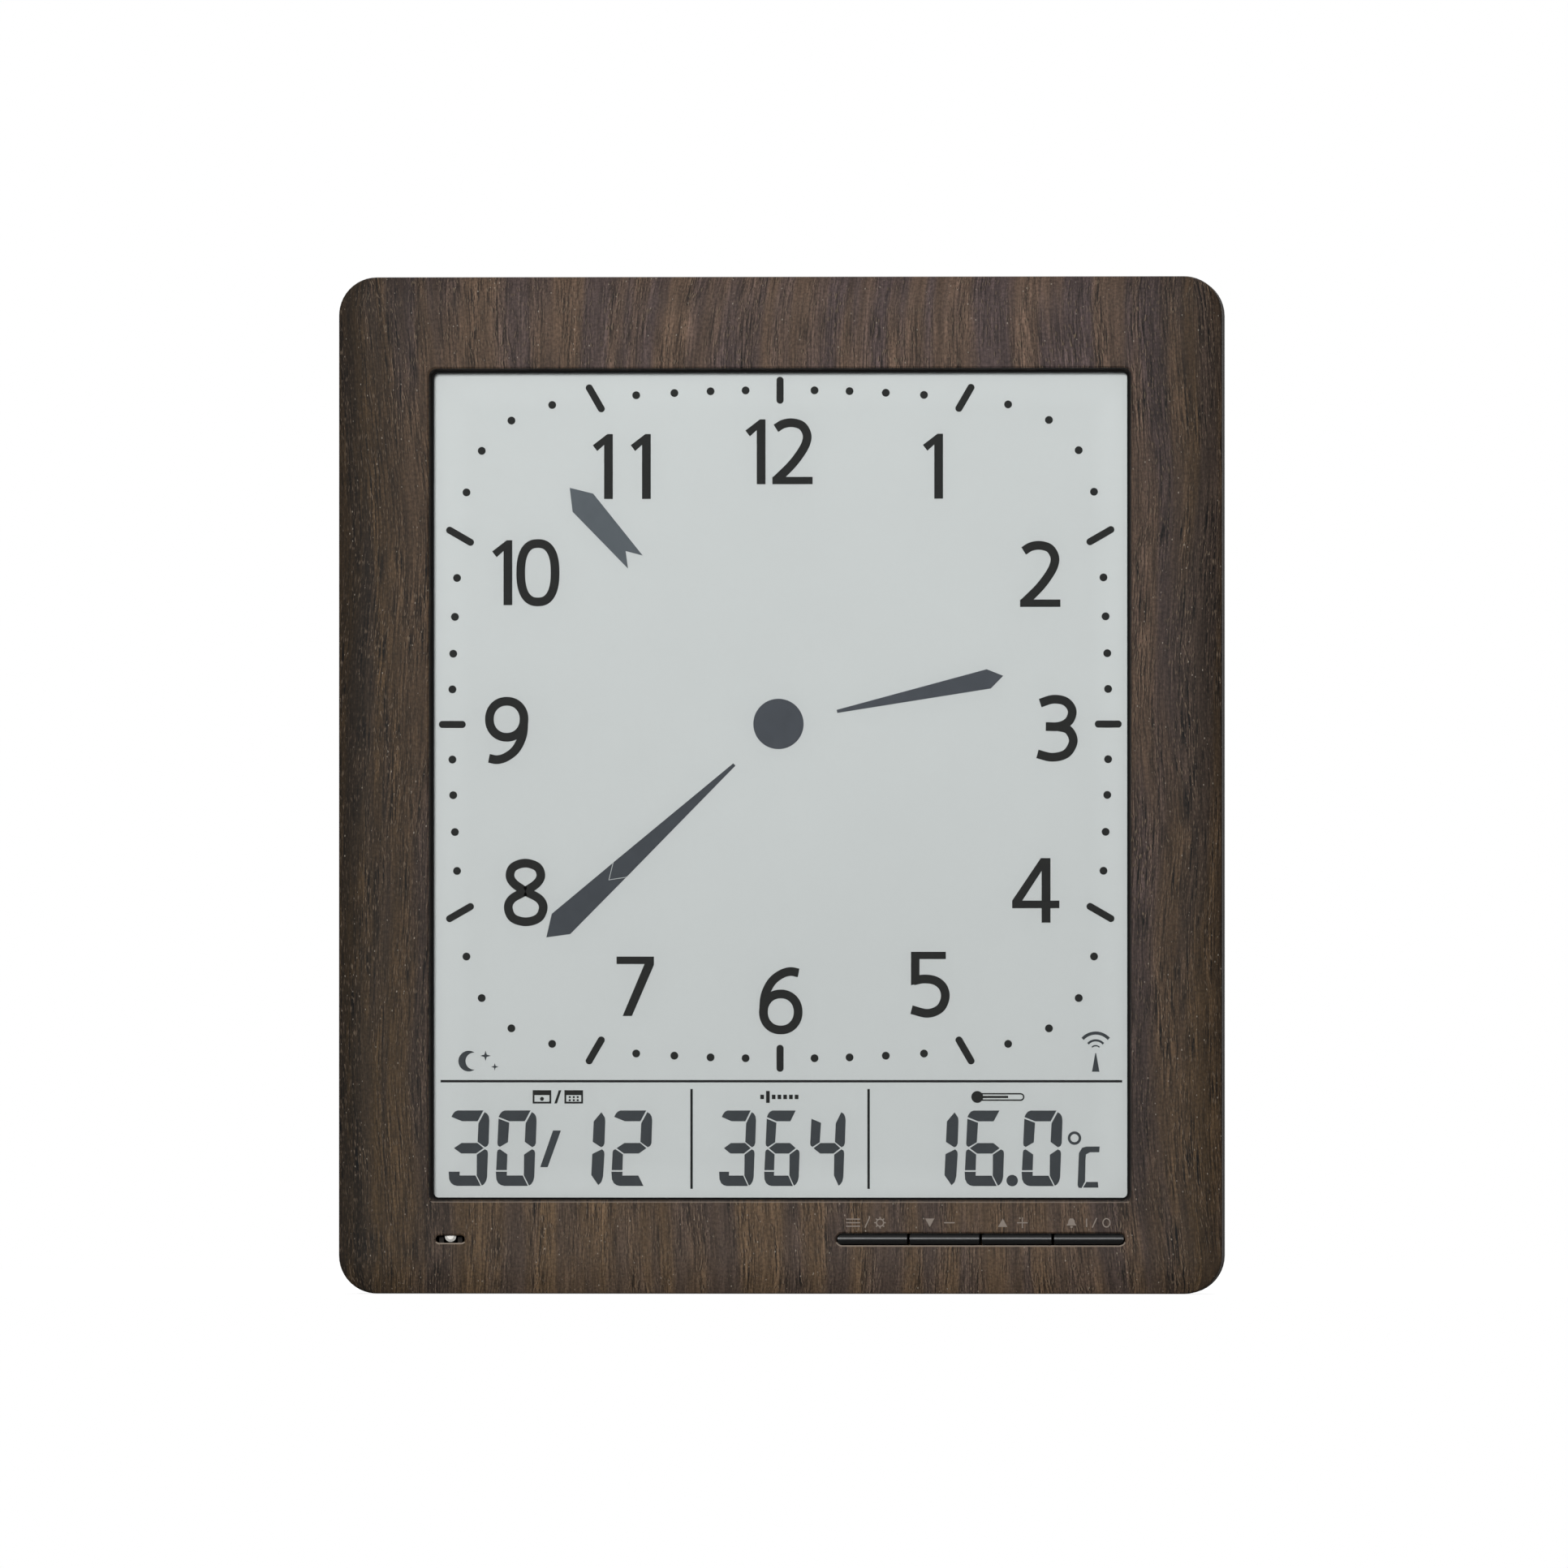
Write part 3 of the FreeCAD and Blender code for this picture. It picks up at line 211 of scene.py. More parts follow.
for share, factor in ((1.0, tint), (at_side, tint_edge)):
    ground = add(tree, "ShaderNodeMix", {
        "Factor": share, "A": ground, "B": factor}, data_type="RGBA", blend_type="MULTIPLY")

cluster = add(tree, "ShaderNodeMapRange", {
    "Value": grain_figure(tree, grain, cluster_size, 1.0), "From Min": 0.36, "From Max": 0.64,
    "To Min": 0.25, "To Max": 1.1})
streak = add(tree, "ShaderNodeMapRange", {
    "Value": grain_figure(tree, grain, streak_size, 2.0), "From Min": 0.3, "From Max": 0.7,
    "To Min": 0.7, "To Max": 1.3})
lines = grain_figure(tree, grain, line_size, 3.0)
line_swing = add(tree, "ShaderNodeMapRange", {
    "Value": lines, "From Min": 0.33, "From Max": 0.67, "To Min": -1.0, "To Max": 1.0})
across = add(tree, "ShaderNodeSeparateXYZ", {"Vector": grain})
off_middle = add(tree, "ShaderNodeMath", {
    0: across.outputs["X"], 1: board_middle}, operation="SUBTRACT")
from_middle = add(tree, "ShaderNodeMath", {0: off_middle}, operation="ABSOLUTE")
# Darker towards the sides: the board's own darker wood, with painted shade of the front falling
# away from the light.
heartwood_and_shade = add(tree, "ShaderNodeMapRange", {
    "Value": from_middle, "From Min": board_reach[0], "From Max": board_reach[1], "To Min": 1.0,
    "To Max": board_side}, interpolation_type="SMOOTHSTEP")
line_depth = add(tree, "ShaderNodeMath", {
    0: heartwood_and_shade, 1: line_depth_fall, 2: line_depth_dark}, operation="MULTIPLY_ADD")
line_depth = add(tree, "ShaderNodeMath", {0: line_depth, 1: cluster}, operation="MULTIPLY")
line = add(tree, "ShaderNodeMath", {
    0: line_swing, 1: line_depth, 2: 1.0}, operation="MULTIPLY_ADD")
# Painted shade on the roll of the edge, which turns away from the light.
painted_roll_shade = add(tree, "ShaderNodeMapRange", {
    "Value": from_middle, "From Min": roll_reach[0], "From Max": roll_reach[1], "To Min": 1.0,
    "To Max": roll_shade})
mottle_noise = add(tree, "ShaderNodeTexNoise", {
    "Vector": film, "Scale": 1 / mottle_size, "Detail": 2.0})
mottle = add(tree, "ShaderNodeMapRange", {
    "Value": mottle_noise, "From Min": 0.3, "From Max": 0.7, "To Min": 0.68, "To Max": 1.32})
gain = streak
for part in (line, heartwood_and_shade, painted_roll_shade, mottle):
    gain = add(tree, "ShaderNodeMath", {0: gain, 1: part}, operation="MULTIPLY")
figured = add(tree, "ShaderNodeVectorMath", {0: ground, "Scale": gain}, operation="SCALE")

pore_shares = []
for place, start, depth, colour in ((grain, 0.43, 1.0, walnut_dark),
                                    (beside, 0.41, 0.42, walnut_pale)):
    pore = add(tree, "ShaderNodeMapRange", {
        "Value": grain_figure(tree, place, pore_size, 1.0), "From Min": start, "From Max": 0.33,
        "To Max": depth})
    pore_shares.append(add(tree, "ShaderNodeMath", {0: pore, 1: cluster}, operation="MULTIPLY"))
    figured = add(tree, "ShaderNodeMix", {
        "Factor": pore_shares[-1], "A": figured, "B": linear(colour)}, data_type="RGBA")

fleck_place = add(tree, "ShaderNodeMapping", {"Vector": grain, "Scale": (1, 1, fleck_stretch)})
fleck = add(tree, "ShaderNodeTexVoronoi", {"Vector": fleck_place, "Scale": 1 / fleck_pitch})
fleck_chance = add(tree, "ShaderNodeSeparateColor", {"Color": fleck.outputs["Color"]})
fleck_size = add(tree, "ShaderNodeMapRange", {
    "Value": fleck_chance, "From Min": 0.5, "From Max": 1.0, "To Min": 0.03, "To Max": 0.2})
fleck_depth = add(tree, "ShaderNodeMath", {0: fleck_size, 1: fleck}, operation="SUBTRACT")
fleck_share = add(tree, "ShaderNodeMapRange", {
    "Value": fleck_depth, "From Min": 0.0, "From Max": 0.12, "To Max": 0.7})
flecked = add(tree, "ShaderNodeMix", {
    "Factor": fleck_share, "A": figured, "B": linear(fleck_colour)}, data_type="RGBA")

# Painted highlight: a pale line on the edge breaks below the display and below the key slot.
rim = add(tree, "ShaderNodeMapRange", {
    "Value": behind_front, "From Min": rim_depth[0], "From Max": rim_depth[1]})
on_bands = []
for middle, reach, share in rim_bands:
    near = add(tree, "ShaderNodeMath", {0: spot["Z"], 1: middle, 2: reach}, operation="COMPARE")
    on_bands.append(add(tree, "ShaderNodeMath", {0: near, 1: share}, operation="MULTIPLY"))
on_band = add(tree, "ShaderNodeMath", {0: on_bands[0], 1: on_bands[1]}, operation="MAXIMUM")
near_slots = add(tree, "ShaderNodeMath", {0: away["X"], 1: rim_reach}, operation="LESS_THAN")
for part in (on_band, near_slots):
    rim = add(tree, "ShaderNodeMath", {0: rim, 1: part}, operation="MULTIPLY")
rim_highlighted = add(tree, "ShaderNodeMix", {
    "Factor": rim, "A": flecked, "B": linear(rim_highlight_colour)}, data_type="RGBA")
# Painted shade: the walls of the openings turn near-black, save on the sill; the hidden inside is
# bare mould.
past_flat = add(tree, "ShaderNodeMath", {0: outside["X"], 1: outside["Z"]}, operation="MAXIMUM")
bare_and_shaded = add(tree, "ShaderNodeMath", {0: 1.0, 1: past_flat}, operation="SUBTRACT")
sunk = add(tree, "ShaderNodeMapRange", {
    "Value": spot["Y"], "From Min": bare_and_shade_depth[0], "From Max": bare_and_shade_depth[1]})
over_sill = add(tree, "ShaderNodeMapRange", {
    "Value": spot["Z"], "From Min": sill_z[0], "From Max": sill_z[1]})
under_sill = add(tree, "ShaderNodeMath", {0: spot["Z"], 1: sill_low}, operation="LESS_THAN")
off_sill = add(tree, "ShaderNodeMath", {0: over_sill, 1: under_sill}, operation="MAXIMUM")
for part in (sunk, off_sill, bare_and_shade_share):
    bare_and_shaded = add(tree, "ShaderNodeMath", {0: bare_and_shaded, 1: part}, operation="MULTIPLY")
trimmed_and_shaded = add(tree, "ShaderNodeMix", {
    "Factor": bare_and_shaded, "A": rim_highlighted, "B": linear(bare_mould_and_shade)}, data_type="RGBA")

lacquer = add(tree, "ShaderNodeMapRange", {"Value": lines, "To Min": 0.58, "To Max": 0.74})
unlacquered = add(tree, "ShaderNodeMapRange", {
    "Value": behind_front, "From Min": film_end[0], "From Max": film_end[1]})
dull = add(tree, "ShaderNodeMix", {"Factor": unlacquered, "A": lacquer, "B": 0.95})
emboss = add(tree, "ShaderNodeBump", {
    "Height": pore_shares[0], "Strength": 0.12, "Distance": 0.0001}, invert=True)
surface = add(tree, "ShaderNodeBsdfPrincipled", {
    "Base Color": trimmed_and_shaded, "Roughness": dull, "Specular IOR Level": 0.2, "Normal": emboss})
add(tree, "ShaderNodeOutputMaterial", {"Surface": surface})
finish_nodes(walnut, "front_frame")


# Display gasket and window. A die-cut ring of black closed-cell foam seals the edge of a sheet of
# clear polystyrene, which lies behind the bevel and is pressed forward by the display holder.
foam_black = "#0B0B0B"
foam_cell = 0.25
coated_ior = 1.26

# Closed-cell foam: a dull, light-swallowing black, seen as a thin dark line. Its pits are drawn
# twice as wide as real ones, which would be too fine to show.
foam, tree, mm = new_material("closed_cell_foam")
cells = add(tree, "ShaderNodeTexVoronoi", {"Vector": mm, "Scale": 1 / foam_cell})
tone = add(tree, "ShaderNodeMapRange", {"Value": cells, "To Min": 0.5, "To Max": 1.2})
shade = add(tree, "ShaderNodeVectorMath", {
    0: linear(foam_black)[:3], "Scale": tone}, operation="SCALE")
pits = add(tree, "ShaderNodeBump", {"Height": cells, "Strength": 0.3, "Distance": 0.0001})
surface = add(tree, "ShaderNodeBsdfPrincipled", {
    "Base Color": shade, "Roughness": 0.9, "Specular IOR Level": 0.2, "Normal": pits})
add(tree, "ShaderNodeOutputMaterial", {"Surface": surface})
finish_nodes(foam, "display_gasket")

# Clear sheet with a hard coat that lowers its reflection: the eye looks through it to the dial
# and meets only a faint, slightly uneven gloss.
clear, tree, mm = new_material("clear_polystyrene_sheet")
uneven = add(tree, "ShaderNodeTexNoise", {"Vector": mm, "Scale": 1 / 25.0, "Detail": 1.0})
sheen = add(tree, "ShaderNodeMapRange", {"Value": uneven, "To Min": 0.02, "To Max": 0.05})
mirror_share = add(tree, "ShaderNodeFresnel", {"IOR": coated_ior})
through = add(tree, "ShaderNodeBsdfTransparent", {"Color": (0.985, 0.99, 0.988, 1)})
gloss = add(tree, "ShaderNodeBsdfGlossy", {"Color": (1, 1, 1, 1), "Roughness": sheen})
pane = add(tree, "ShaderNodeMixShader", {0: mirror_share, 1: through, 2: gloss})
add(tree, "ShaderNodeOutputMaterial", {"Surface": pane})
finish_nodes(clear, "display_window")


# Display cell. Two plates of float glass with a polarizing film on the front and a matt silver
# reflector behind, which together show a pale grey-green ground.
film_colour = "#CFD2D2"
film_cloud = 45.0
film_grain = 0.35
bottom_shade_z = (-70.0, 95.0)
margin_start = (70.0, 84.8)
margin_width = 8.5
margin_gain = 1.09

# Polarizer over the reflector: an even, paper-like grey-green. Painted shade darkens it a little
# towards the bottom, and painted light brightens a narrow margin along its edges, where the recess
# would shade it. The reflector's grain is far finer than the one drawn, which is as fine as the
# render can show.
polarizer, tree, mm = new_material("reflective_polarizer_film")
spot = add(tree, "ShaderNodeSeparateXYZ", {"Vector": mm}).outputs
cloud = add(tree, "ShaderNodeTexNoise", {"Vector": mm, "Scale": 1 / film_cloud, "Detail": 2.0})
gain = add(tree, "ShaderNodeMapRange", {"Value": cloud, "To Min": 0.975, "To Max": 1.025})
sparkle = add(tree, "ShaderNodeTexNoise", {"Vector": mm, "Scale": 1 / film_grain, "Detail": 1.0})
sparkle_gain = add(tree, "ShaderNodeMapRange", {
    "Value": sparkle, "From Min": 0.3, "From Max": 0.7, "To Min": 0.985, "To Max": 1.015})
# Painted shade: a little darker towards the bottom.
bottom_shade = add(tree, "ShaderNodeMapRange", {
    "Value": spot["Z"], "From Min": bottom_shade_z[0], "From Max": bottom_shade_z[1], "To Min": 0.92,
    "To Max": 0.995})
beyond = []
for axis, start in zip("XZ", margin_start):
    off = add(tree, "ShaderNodeMath", {0: spot[axis]}, operation="ABSOLUTE")
    beyond.append(add(tree, "ShaderNodeMath", {0: off, 1: start}, operation="SUBTRACT"))
margin = add(tree, "ShaderNodeMath", {0: beyond[0], 1: beyond[1]}, operation="MAXIMUM")
# Painted light in a narrow margin along the edges, against the shade of the recess.
painted_margin_light = add(tree, "ShaderNodeMapRange", {
    "Value": margin, "From Min": 0.0, "From Max": margin_width, "To Min": 1.0,
    "To Max": margin_gain})
for part in (sparkle_gain, bottom_shade, painted_margin_light):
    gain = add(tree, "ShaderNodeMath", {0: gain, 1: part}, operation="MULTIPLY")
tone = add(tree, "ShaderNodeVectorMath", {
    0: linear(film_colour)[:3], "Scale": gain}, operation="SCALE")
surface = add(tree, "ShaderNodeBsdfPrincipled", {
    "Base Color": tone, "Roughness": 0.6, "Specular IOR Level": 0.2})
add(tree, "ShaderNodeOutputMaterial", {"Surface": surface})
finish_nodes(polarizer, "lcd_front_polarizer")

# Float glass: clear, with the faint green of its edge.
float_glass, tree, mm = new_material("float_glass")
surface = add(tree, "ShaderNodeBsdfPrincipled", {
    "Base Color": linear("#DDEBE6"), "Roughness": 0.02, "IOR": 1.52, "Transmission Weight": 1.0})
add(tree, "ShaderNodeOutputMaterial", {"Surface": surface})
finish_nodes(float_glass, "lcd_front_glass", "lcd_rear_glass")


# Printing on the display. Hour bars, minute dots, numerals and dividing lines are screen-printed
# in near-black ink on the film: flat layers with crisp edges. Each layer is a pair, front and back
# in metres; a stroke that crosses another is lifted by one step, so that no two faces coincide.
film_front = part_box("lcd_front_polarizer")[0].y
display_print = (film_front - 0.00003, film_front - 0.000002)
stroke_step = 0.000002
dial_x = -0.15
dial_z = 13.8
mark_reach_x = 74.29
mark_reach_z = 75.57
hour_bar_length = 6.1
hour_bar_width = 1.62
minute_dot_width = 1.78


def uneven_colour(tree, mm, colour, size, detail, swing, roughness=0.5):
    """Fine figure of a size in millimetres, and a colour whose tone swings a little with it."""
    figure = add(tree, "ShaderNodeTexNoise", {
        "Vector": mm, "Scale": 1 / size, "Detail": detail, "Roughness": roughness})
    gain = add(tree, "ShaderNodeMapRange", {
        "Value": figure, "To Min": 1 - swing, "To Max": 1 + swing})
    return figure, add(tree, "ShaderNodeVectorMath", {
        0: linear(colour)[:3], "Scale": gain}, operation="SCALE")


def printed_material(name, colour, roughness, pattern):
    """Ink or darkened crystal: one flat tone that varies a little over the pattern's size."""
    material, tree, mm = new_material(name)
    _, shade = uneven_colour(tree, mm, colour, pattern, 2.0, 0.12)
    surface = add(tree, "ShaderNodeBsdfPrincipled", {
        "Base Color": shade, "Roughness": roughness, "Specular IOR Level": 0.2})
    add(tree, "ShaderNodeOutputMaterial", {"Surface": surface})
    return material


# Screen-printed ink: a dry near-black that stays even to its sharp edge.
dial_ink = printed_material("screen_printed_ink", "#141514", 0.6, 1.2)


def raise_outline(mesh, outline, lift=0, layer=display_print):
    """Flat prism from an outline of (x, z) points in millimetres."""
    near, far = [[mesh.verts.new((x / 1000, y, z / 1000)) for x, z in outline]
                 for y in (layer[0] - lift * stroke_step, layer[1])]
    mesh.faces.new(near)
    mesh.faces.new(far[::-1])
    for at in range(len(outline)):
        following = (at + 1) % len(outline)
        mesh.faces.new((near[at], far[at], far[following], near[following]))


def raise_band(mesh, path, width, closed=False, lift=0, layer=display_print):
    """Flat prism of even width along a path, mitred where the path turns."""
    front, back = layer[0] - lift * stroke_step, layer[1]
    count = len(path)
    sharpest_mitre = 0.35
    sides = []
    for at in range(count):
        here = Vector(path[at])
        before = Vector(path[at - 1]) if at or closed else None
        after = Vector(path[(at + 1) % count]) if at < count - 1 or closed else None
        arriving = (here - before).normalized() if before else (after - here).normalized()
        leaving = (after - here).normalized() if after else arriving
        along = (arriving + leaving).normalized()
        across = Vector((-along.y, along.x))
        slant = across.dot(Vector((-arriving.y, arriving.x)))
        reach = width / 2 / max(slant, sharpest_mitre)
        sides.append([mesh.verts.new(((here.x + side * across.x * reach) / 1000, y,
                                      (here.y + side * across.y * reach) / 1000))
                      for side, y in ((1, front), (-1, front), (-1, back), (1, back))])
    for at in range(count if closed else count - 1):
        ring, following = sides[at], sides[(at + 1) % count]
        for edge in range(4):
            onward = (edge + 1) % 4
            mesh.faces.new((ring[edge], following[edge], following[onward], ring[onward]))
    if not closed:
        mesh.faces.new(sides[0])
        mesh.faces.new(sides[-1][::-1])


def ring_path(x, z, reach_x, reach_z, power=2.0, count=48):
    """Closed rounded ring about a centre; a higher power squares it."""
    path = []
    for at in range(count):
        turn = 2 * math.pi * at / count
        cosine, sine = math.cos(turn), math.sin(turn)
        path.append((x + reach_x * math.copysign(abs(cosine) ** (2 / power), cosine),
                     z + reach_z * math.copysign(abs(sine) ** (2 / power), sine)))
    return path


def put_in_scene(name, data):
    """Object of that name and data, linked to the scene."""
    made = bpy.data.objects.new(name, data)
    bpy.context.scene.collection.objects.link(made)
    return made


def shaped(name, mesh, material):
    """Object from a finished mesh, with one material."""
    data = bpy.data.meshes.new(name)
    mesh.to_mesh(data)
    mesh.free()
    data.materials.append(material)
    return put_in_scene(name, data)


def make_piece(name, mesh, material):
    """Closed mesh as a piece of the housing."""
    bmesh.ops.recalc_face_normals(mesh, faces=mesh.faces)
    piece = shaped(name, mesh, material)
    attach(piece, "housing")


def mark_place(turn):
    """Place of a dial mark: the ring is a circle drawn out towards its four corners."""
    power = 3 + 2 * math.sin(2 * turn) ** 4
    reach = (abs(math.sin(turn)) ** power + abs(math.cos(turn)) ** power) ** (-1 / power)
    return (dial_x + mark_reach_x * reach * math.sin(turn),
            dial_z + mark_reach_z * reach * math.cos(turn))


def repeated_marks(name, turns, length, width):
    """Geometry nodes that set a round-ended bar of ink on every point of the ring, turned to the
    dial's middle; a bar no longer than it is wide is a dot."""
    points = bpy.data.meshes.new(name)
    places = [mark_place(turn) for turn in turns]
    points.from_pydata([(x / 1000, sum(display_print) / 2, z / 1000) for x, z in places], [], [])
    points.attributes.new("heading", "FLOAT", "POINT").data.foreach_set("value", turns)
    piece = put_in_scene(name, points)
    tree = bpy.data.node_groups.new(name, "GeometryNodeTree")
    tree.interface.new_socket("Points", in_out="INPUT", socket_type="NodeSocketGeometry")
    sizes = {}
    for label, value in (("Bar length", length / 1000), ("Bar width", width / 1000),
                         ("Ink thickness", display_print[1] - display_print[0])):
        socket = tree.interface.new_socket(label, in_out="INPUT", socket_type="NodeSocketFloat")
        sizes[socket.identifier] = value
    tree.interface.new_socket("Marks", in_out="OUTPUT", socket_type="NodeSocketGeometry")
    given = add(tree, "NodeGroupInput").outputs
    radius = add(tree, "ShaderNodeMath", {0: given["Bar width"], 1: 0.5}, operation="MULTIPLY")
    straight = add(tree, "ShaderNodeMath", {
        0: given["Bar length"], 1: given["Bar width"]}, operation="SUBTRACT")
    half = add(tree, "ShaderNodeMath", {0: straight, 1: 0.5}, operation="MULTIPLY")
    outline = add(tree, "GeometryNodeCurvePrimitiveCircle", {"Resolution": 32, "Radius": radius})
    along = add(tree, "ShaderNodeSeparateXYZ", {0: add(tree, "GeometryNodeInputPosition")})
    side = add(tree, "ShaderNodeMath", {0: along.outputs["Y"]}, operation="SIGN")
    pull = add(tree, "ShaderNodeMath", {0: side, 1: half}, operation="MULTIPLY")
    drawn_out = add(tree, "GeometryNodeSetPosition", {
        "Geometry": outline, "Offset": add(tree, "ShaderNodeCombineXYZ", {"Y": pull})})
    filled = add(tree, "GeometryNodeFillCurve", {"Curve": drawn_out}, mode="NGONS")
    raised = add(tree, "GeometryNodeExtrudeMesh", {
        "Mesh": filled, "Individual": False, "Offset Scale": given["Ink thickness"]})
    under = add(tree, "GeometryNodeFlipFaces", {"Mesh": filled})
    whole = add(tree, "GeometryNodeJoinGeometry", {"Geometry": raised})
    tree.links.new(under.outputs[0], whole.inputs[0])
    merged = add(tree, "GeometryNodeMergeByDistance", {"Geometry": whole, "Distance": 1e-7})
    heading = add(tree, "GeometryNodeInputNamedAttribute", {"Name": "heading"}, data_type="FLOAT")
    facing = add(tree, "ShaderNodeCombineXYZ", {"X": math.pi / 2, "Y": heading})
    spread = add(tree, "GeometryNodeInstanceOnPoints", {
        "Points": given["Points"], "Instance": merged, "Rotation": facing})
    real = add(tree, "GeometryNodeRealizeInstances", {"Geometry": spread})
    inked = add(tree, "GeometryNodeSetMaterial", {"Geometry": real, "Material": dial_ink})
    add(tree, "NodeGroupOutput", {"Marks": inked})
    modifier = piece.modifiers.new(name, "NODES")
    modifier.node_group = tree
    for identifier, value in sizes.items():
        modifier[identifier] = value
    depsgraph = bpy.context.evaluated_depsgraph_get()
    made = bpy.data.meshes.new_from_object(piece.evaluated_get(depsgraph))
    piece.modifiers.clear()
    piece.data = made
    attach(piece, "housing")


minutes = [math.radians(6 * minute) for minute in range(60)]
slanted_bar_length = hour_bar_length / math.cos(math.radians(30))
repeated_marks("quarter_bars", minutes[::15], hour_bar_length, hour_bar_width)
repeated_marks("hour_bars", [turn for at, turn in enumerate(minutes) if at % 5 == 0 and at % 15],
               slanted_bar_length, hour_bar_width)
repeated_marks("minute_dots", [turn for at, turn in enumerate(minutes) if at % 5],
               minute_dot_width, minute_dot_width)


# Hour numerals. Screen-printed digits of an even stroke, drawn on a grid of 81 units in height:
# bands follow the middle of each stroke, and outlines give the straight-cut parts. The nine is
# the six turned upside down.
grid_unit = 0.1837
stroke = 10.8
nine_size = (54, 81)


def rounded_path(corners, steps=6):
    """Smooth line through the corners, which starts and ends at the outer two."""
    points = [Vector(corner) for corner in corners]
    ends = [2 * points[0] - points[1]] + points + [2 * points[-1] - points[-2]]
    path = []
    for before, here, there, beyond in zip(ends, ends[1:], ends[2:], ends[3:]):
        for step in range(steps):
            t = step / steps
            path.append(0.5 * (2 * here + (there - before) * t
                               + (2 * before - 5 * here + 4 * there - beyond) * t ** 2
                               + (3 * here - before - 3 * there + beyond) * t ** 3))
    return path + [points[-1]]


digit_bands = {
    "2": [[(4.4, 68.9), (13.5, 74.2), (24.8, 75.7), (36.5, 72), (42.7, 61.5), (41.3, 50),
           (34, 37), (22.5, 22.5), (4.2, 4.6)]],
    "3": [[(4.6, 71.6), (20.7, 76.3), (36, 73.4), (44, 62.4), (40.2, 49.6), (28, 43),
           (11.5, 42.7)],
          [(26, 42.8), (39.5, 38.4), (45.4, 24.5), (37, 9.6), (19.5, 4.9), (1.2, 9)]],
    "5": [[(3, 44.8), (15.5, 47.2), (29.5, 45.3), (39.4, 37.3), (42.2, 24.6), (36, 11),
           (20.5, 4.9), (0.6, 9.4)]],
    "6": [[(5.9, 27), (7.9, 47.5), (15.8, 64), (27.5, 73.6), (38.8, 77.1), (49.3, 75.4)]],
    "8": [[(26.3, 42.5), (40.3, 52.2), (45.4, 62), (41, 72.6), (26.3, 77.3), (11.7, 72.6),
           (7.3, 62), (12.3, 52.2), (26.3, 42.5)],
          [(26.3, 42.5), (43, 33.6), (48.4, 22.6), (42.6, 9.8), (26.8, 5), (10.8, 9.8),
           (5.2, 22.6), (10.2, 33.6), (26.3, 42.5)]],
}
digit_rings = {"0": [ring_path(26.5, 41, 21.2, 36, 2.45)],
               "6": [ring_path(27.3, 27.3, 21.4, 22.2, 2.1)]}
digit_outlines = {
    "1": [[(24.8, 0), (24.8, 80), (18, 80), (0, 66.2), (5.5, 59), (14, 66.6), (14, 0)]],
    "2": [[(0, 0), (49.7, 0), (49.7, 9.1), (0, 9.1)]],
    "4": [[(36.3, 0), (47.2, 0), (47.2, 79.5), (36.3, 79.5)],
          [(0, 17.8), (58.2, 17.8), (58.2, 27.2), (0, 27.2)],
          [(0, 27.2), (12.5, 27.2), (36.3, 63.7), (36.3, 79.5), (35.3, 79.5)]],
    "5": [[(0, 39.4), (4.5, 40.6), (10.5, 51.2), (10.5, 71.7), (43, 71.7), (43, 80.7),
           (0, 80.7)]],
    "7": [[(0, 73.2), (0, 64), (34.5, 64), (7.5, 0), (19, 0), (46.2, 63), (46.2, 73.2)]],
}
numeral_places = [
    ("1", -8.0, 68.1), ("2", -1.9, 68.1), ("1", 32.2, 64.8), ("2", 54.2, 40.3), ("3", 57.9, 5.4),
    ("4", 52.4, -31.1), ("5", 29.5, -52.5), ("6", -5.0, -56.3), ("7", -37.2, -52.2),
    ("8", -62.7, -31.8), ("9", -67.0, 5.1), ("1", -65.4, 40.8), ("0", -59.9, 40.6),
    ("1", -42.6, 64.8), ("1", -34.0, 64.8)]


def draw_digit(mesh, digit, x, z):
    """One numeral with its left foot at x, z; each stroke lies a little over the one before."""
    turned = digit == "9"
    digit = "6" if turned else digit

    def placed(path):
        if turned:
            path = [(nine_size[0] - across, nine_size[1] - upward) for across, upward in path]
        return [(x + across * grid_unit, z + upward * grid_unit) for across, upward in path]

    bands = [(rounded_path(corners), False) for corners in digit_bands.get(digit, [])]
    bands += [(ring, True) for ring in digit_rings.get(digit, [])]
    for lift, (path, closed) in enumerate(bands):
        raise_band(mesh, placed(path), stroke * grid_unit, closed, lift)
    for lift, outline in enumerate(digit_outlines.get(digit, []), len(bands)):
        raise_outline(mesh, placed(outline), lift)


mesh = bmesh.new()
for digit, x, z in numeral_places:
    draw_digit(mesh, digit, x, z)
make_piece("hour_numerals", mesh, dial_ink)


# Dividing lines between the dial and the date, day and temperature, in the same print: a long
# line across and two short ones below it. Their thin ink stays a little blacker.
line_z = -66.95
line_ends = (-77.1, 77.3)
line_thickness = 0.56
divider_xs = (-20.2, 19.9)
divider_ends = (-91.3, -68.7)
mesh = bmesh.new()
raise_band(mesh, [(x, line_z) for x in line_ends], line_thickness)
for x in divider_xs:
    raise_band(mesh, [(x, z) for z in divider_ends], line_thickness)
make_piece("dividing_lines", mesh, printed_material("fine_line_ink", "#0D0E0F", 0.6, 0.8))


